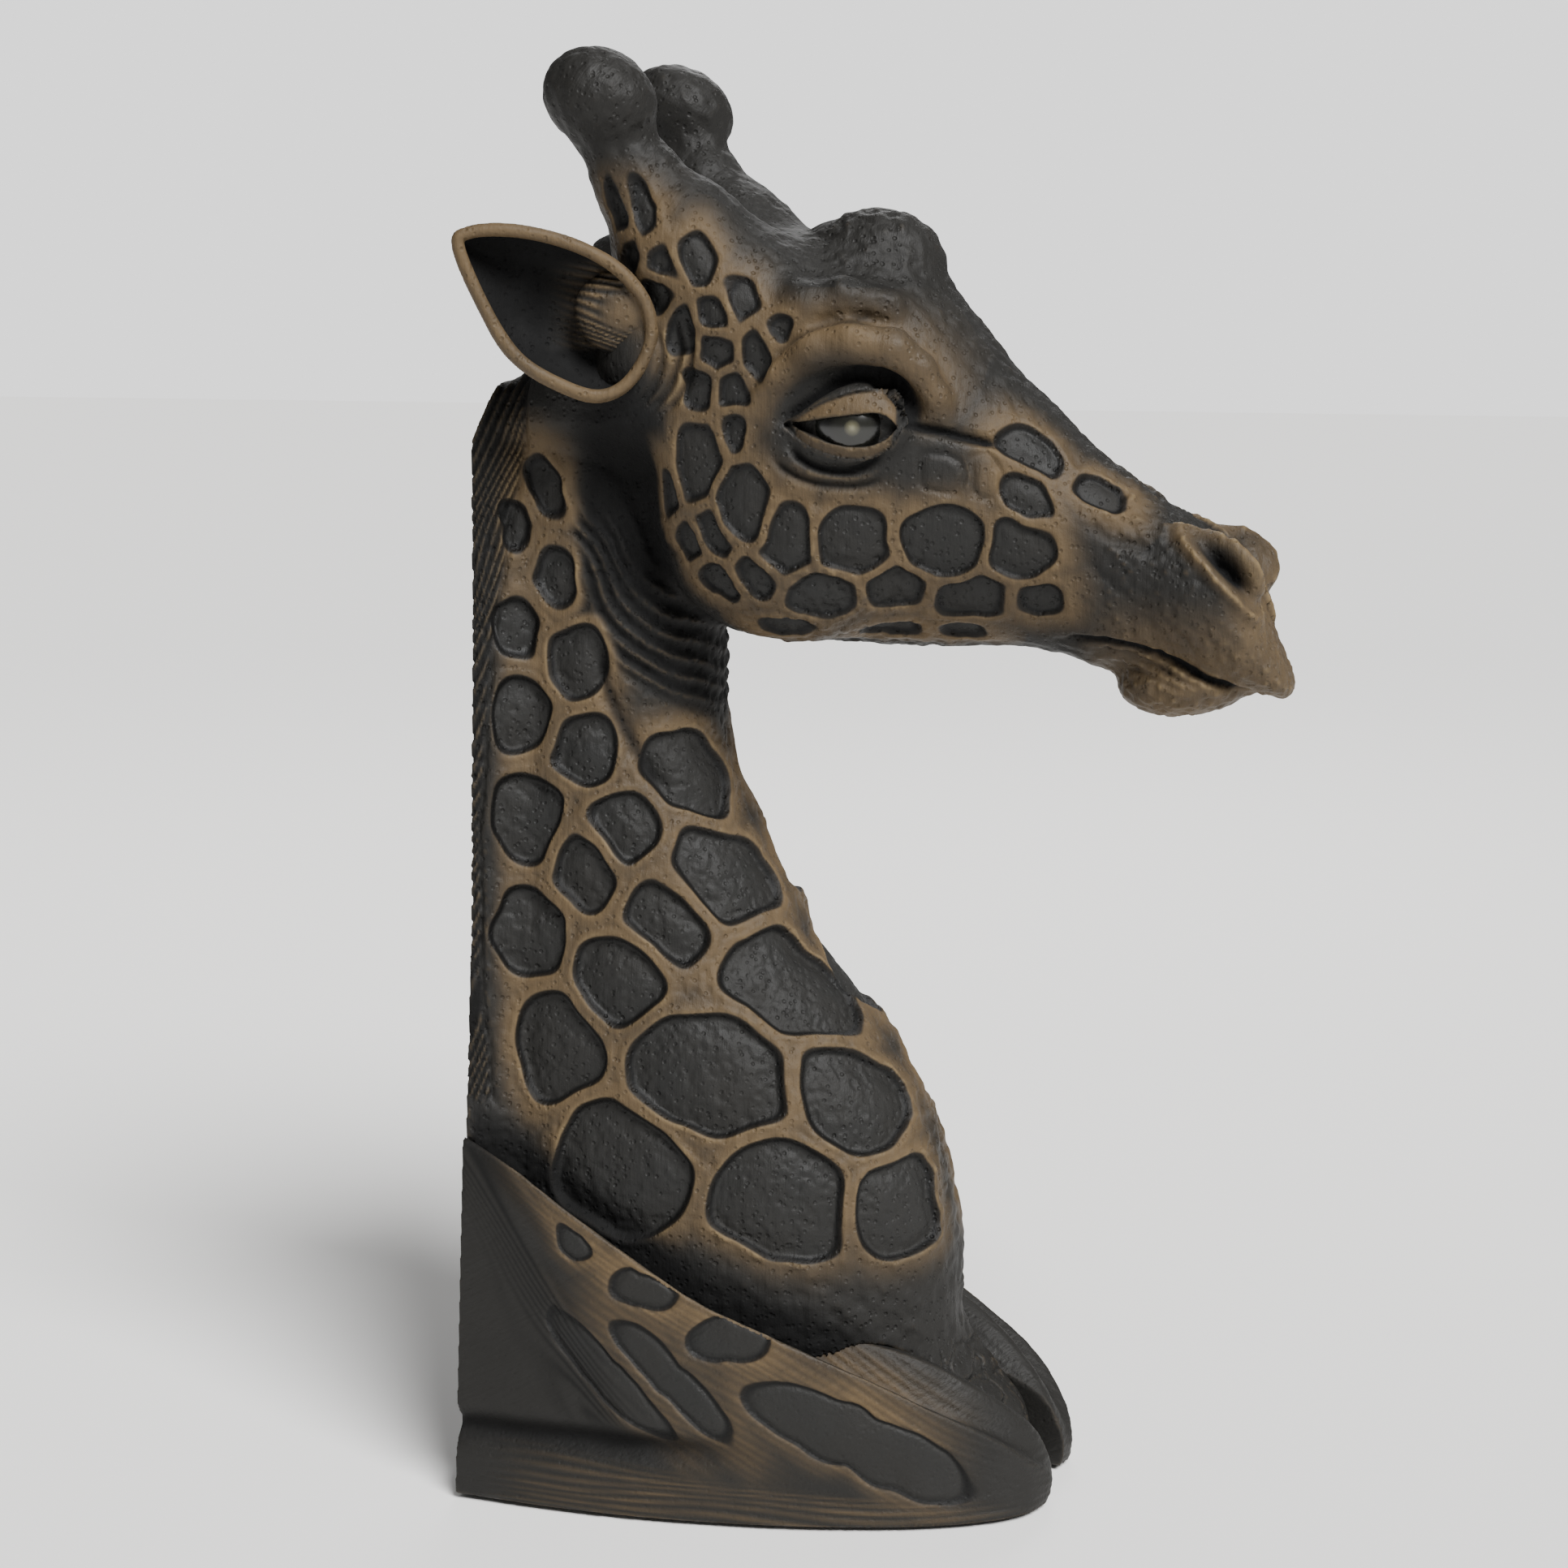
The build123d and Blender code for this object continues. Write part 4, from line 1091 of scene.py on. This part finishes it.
# each carved piece, the node that it stands for, its slot and its material
carved = [
    (neckPiece, "neck_and_chest", "patinated_wood", bodyWax),
    (headCarved, "head", "patinated_wood", bodyWax),
    (hornPieces[0], "horn_right", "horn_wood", hornWax),
    (hornPieces[1], "horn_left", "horn_wood", hornWax),
    (earRight, "ear_right", "patinated_wood", bodyWax),
    (earLeft, "ear_left", "patinated_wood", bodyWax),
    (legRight, "foreleg_right", "patinated_wood", legWax),
    (legLeft, "foreleg_left", "patinated_wood", legWax),
    (shinRight, "shin_right", "patinated_wood", shinWax),
    (shinLeft, "shin_left", "patinated_wood", shinWax),
    (eyeRight, "eye_right", "polished_eye", stone),
    (eyeLeft, "eye_left", "polished_eye", stone),
]
for piece, node, slot, material in carved:
    piece.data.materials.clear()
    piece.data.materials.append(material)
    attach(piece, "root")
    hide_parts(node)
for name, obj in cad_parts.items():
    if "dowel" in name or "peg" in name or name == "neck_tenon":
        obj.material_slots[0].material = beech
    if name == "felt_pad":
        obj.material_slots[0].material = felt


print("setting the floor, lights and camera")
room = {"floor": "#f2f1ef", "reach": 6.0}
floorMesh = bpy.data.meshes.new("floor")
r = room["reach"]
floorMesh.from_pydata([(-r, -r, 0), (r, -r, 0), (r, r, 0), (-r, r, 0)], [], [(0, 1, 2, 3)])
floor = linked("floor", floorMesh)
floorPaint, tree = newMaterial("pale_matt_floor")
shader = add(tree, "ShaderNodeBsdfPrincipled", {"Base Color": linear(room["floor"]), "Roughness": 0.9})
add(tree, "ShaderNodeOutputMaterial", None, {"Surface": shader.outputs[0]})
floorMesh.materials.append(floorPaint)

view = {"azimuth": 17.0, "elevation": 10.0, "distance": 0.700, "aim": (-0.027, 0.0, 0.174), "lens": 65.2}
a, e = math.radians(view["azimuth"]), math.radians(view["elevation"])
back = Vector((math.sin(a) * math.cos(e), -math.cos(a) * math.cos(e), math.sin(e)))
cameraData = bpy.data.cameras.new("camera")
cameraData.lens = view["lens"]
cameraData.sensor_width = 36.0
camera = linked("camera", cameraData)
camera.location = Vector(view["aim"]) + back * view["distance"]
camera.rotation_euler = back.to_track_quat("Z", "Y").to_euler()
bpy.context.scene.camera = camera

studio = {"fill": 0.16, "backdrop": 1.60, "sun": 6.8, "sunSoft": 28.0, "rim": 4.0}
world = bpy.data.worlds.new("studio")
bpy.context.scene.world = world
world.use_nodes = True
tree = world.node_tree
tree.nodes.clear()
# the pale backdrop is bright to look at, and gives only a low fill light
seen = add(tree, "ShaderNodeLightPath").outputs["Is Camera Ray"]
ends = {"To Min": studio["fill"], "To Max": studio["backdrop"]}
strength = add(tree, "ShaderNodeMapRange", ends, {"Value": seen}).outputs[0]
sky = add(tree, "ShaderNodeBackground", {"Color": (1.0, 1.0, 1.0, 1.0), "Strength": strength})
add(tree, "ShaderNodeOutputWorld", None, {"Surface": sky.outputs[0]})


def lampAt(name, kind, place, power, spread):
    data = bpy.data.lights.new(name, kind)
    data.energy = power
    if kind == "SUN":
        data.angle = math.radians(spread)
    else:
        data.size = spread
    lamp = linked(name, data)
    lamp.location = place
    lamp.rotation_euler = (Vector(place) - Vector((0, 0, 0.18))).to_track_quat("Z", "Y").to_euler()


lampAt("key", "SUN", (0.75, -0.62, 1.25), studio["sun"], studio["sunSoft"])
lampAt("rim", "AREA", (-0.2, 0.9, 0.9), studio["rim"], 0.5)
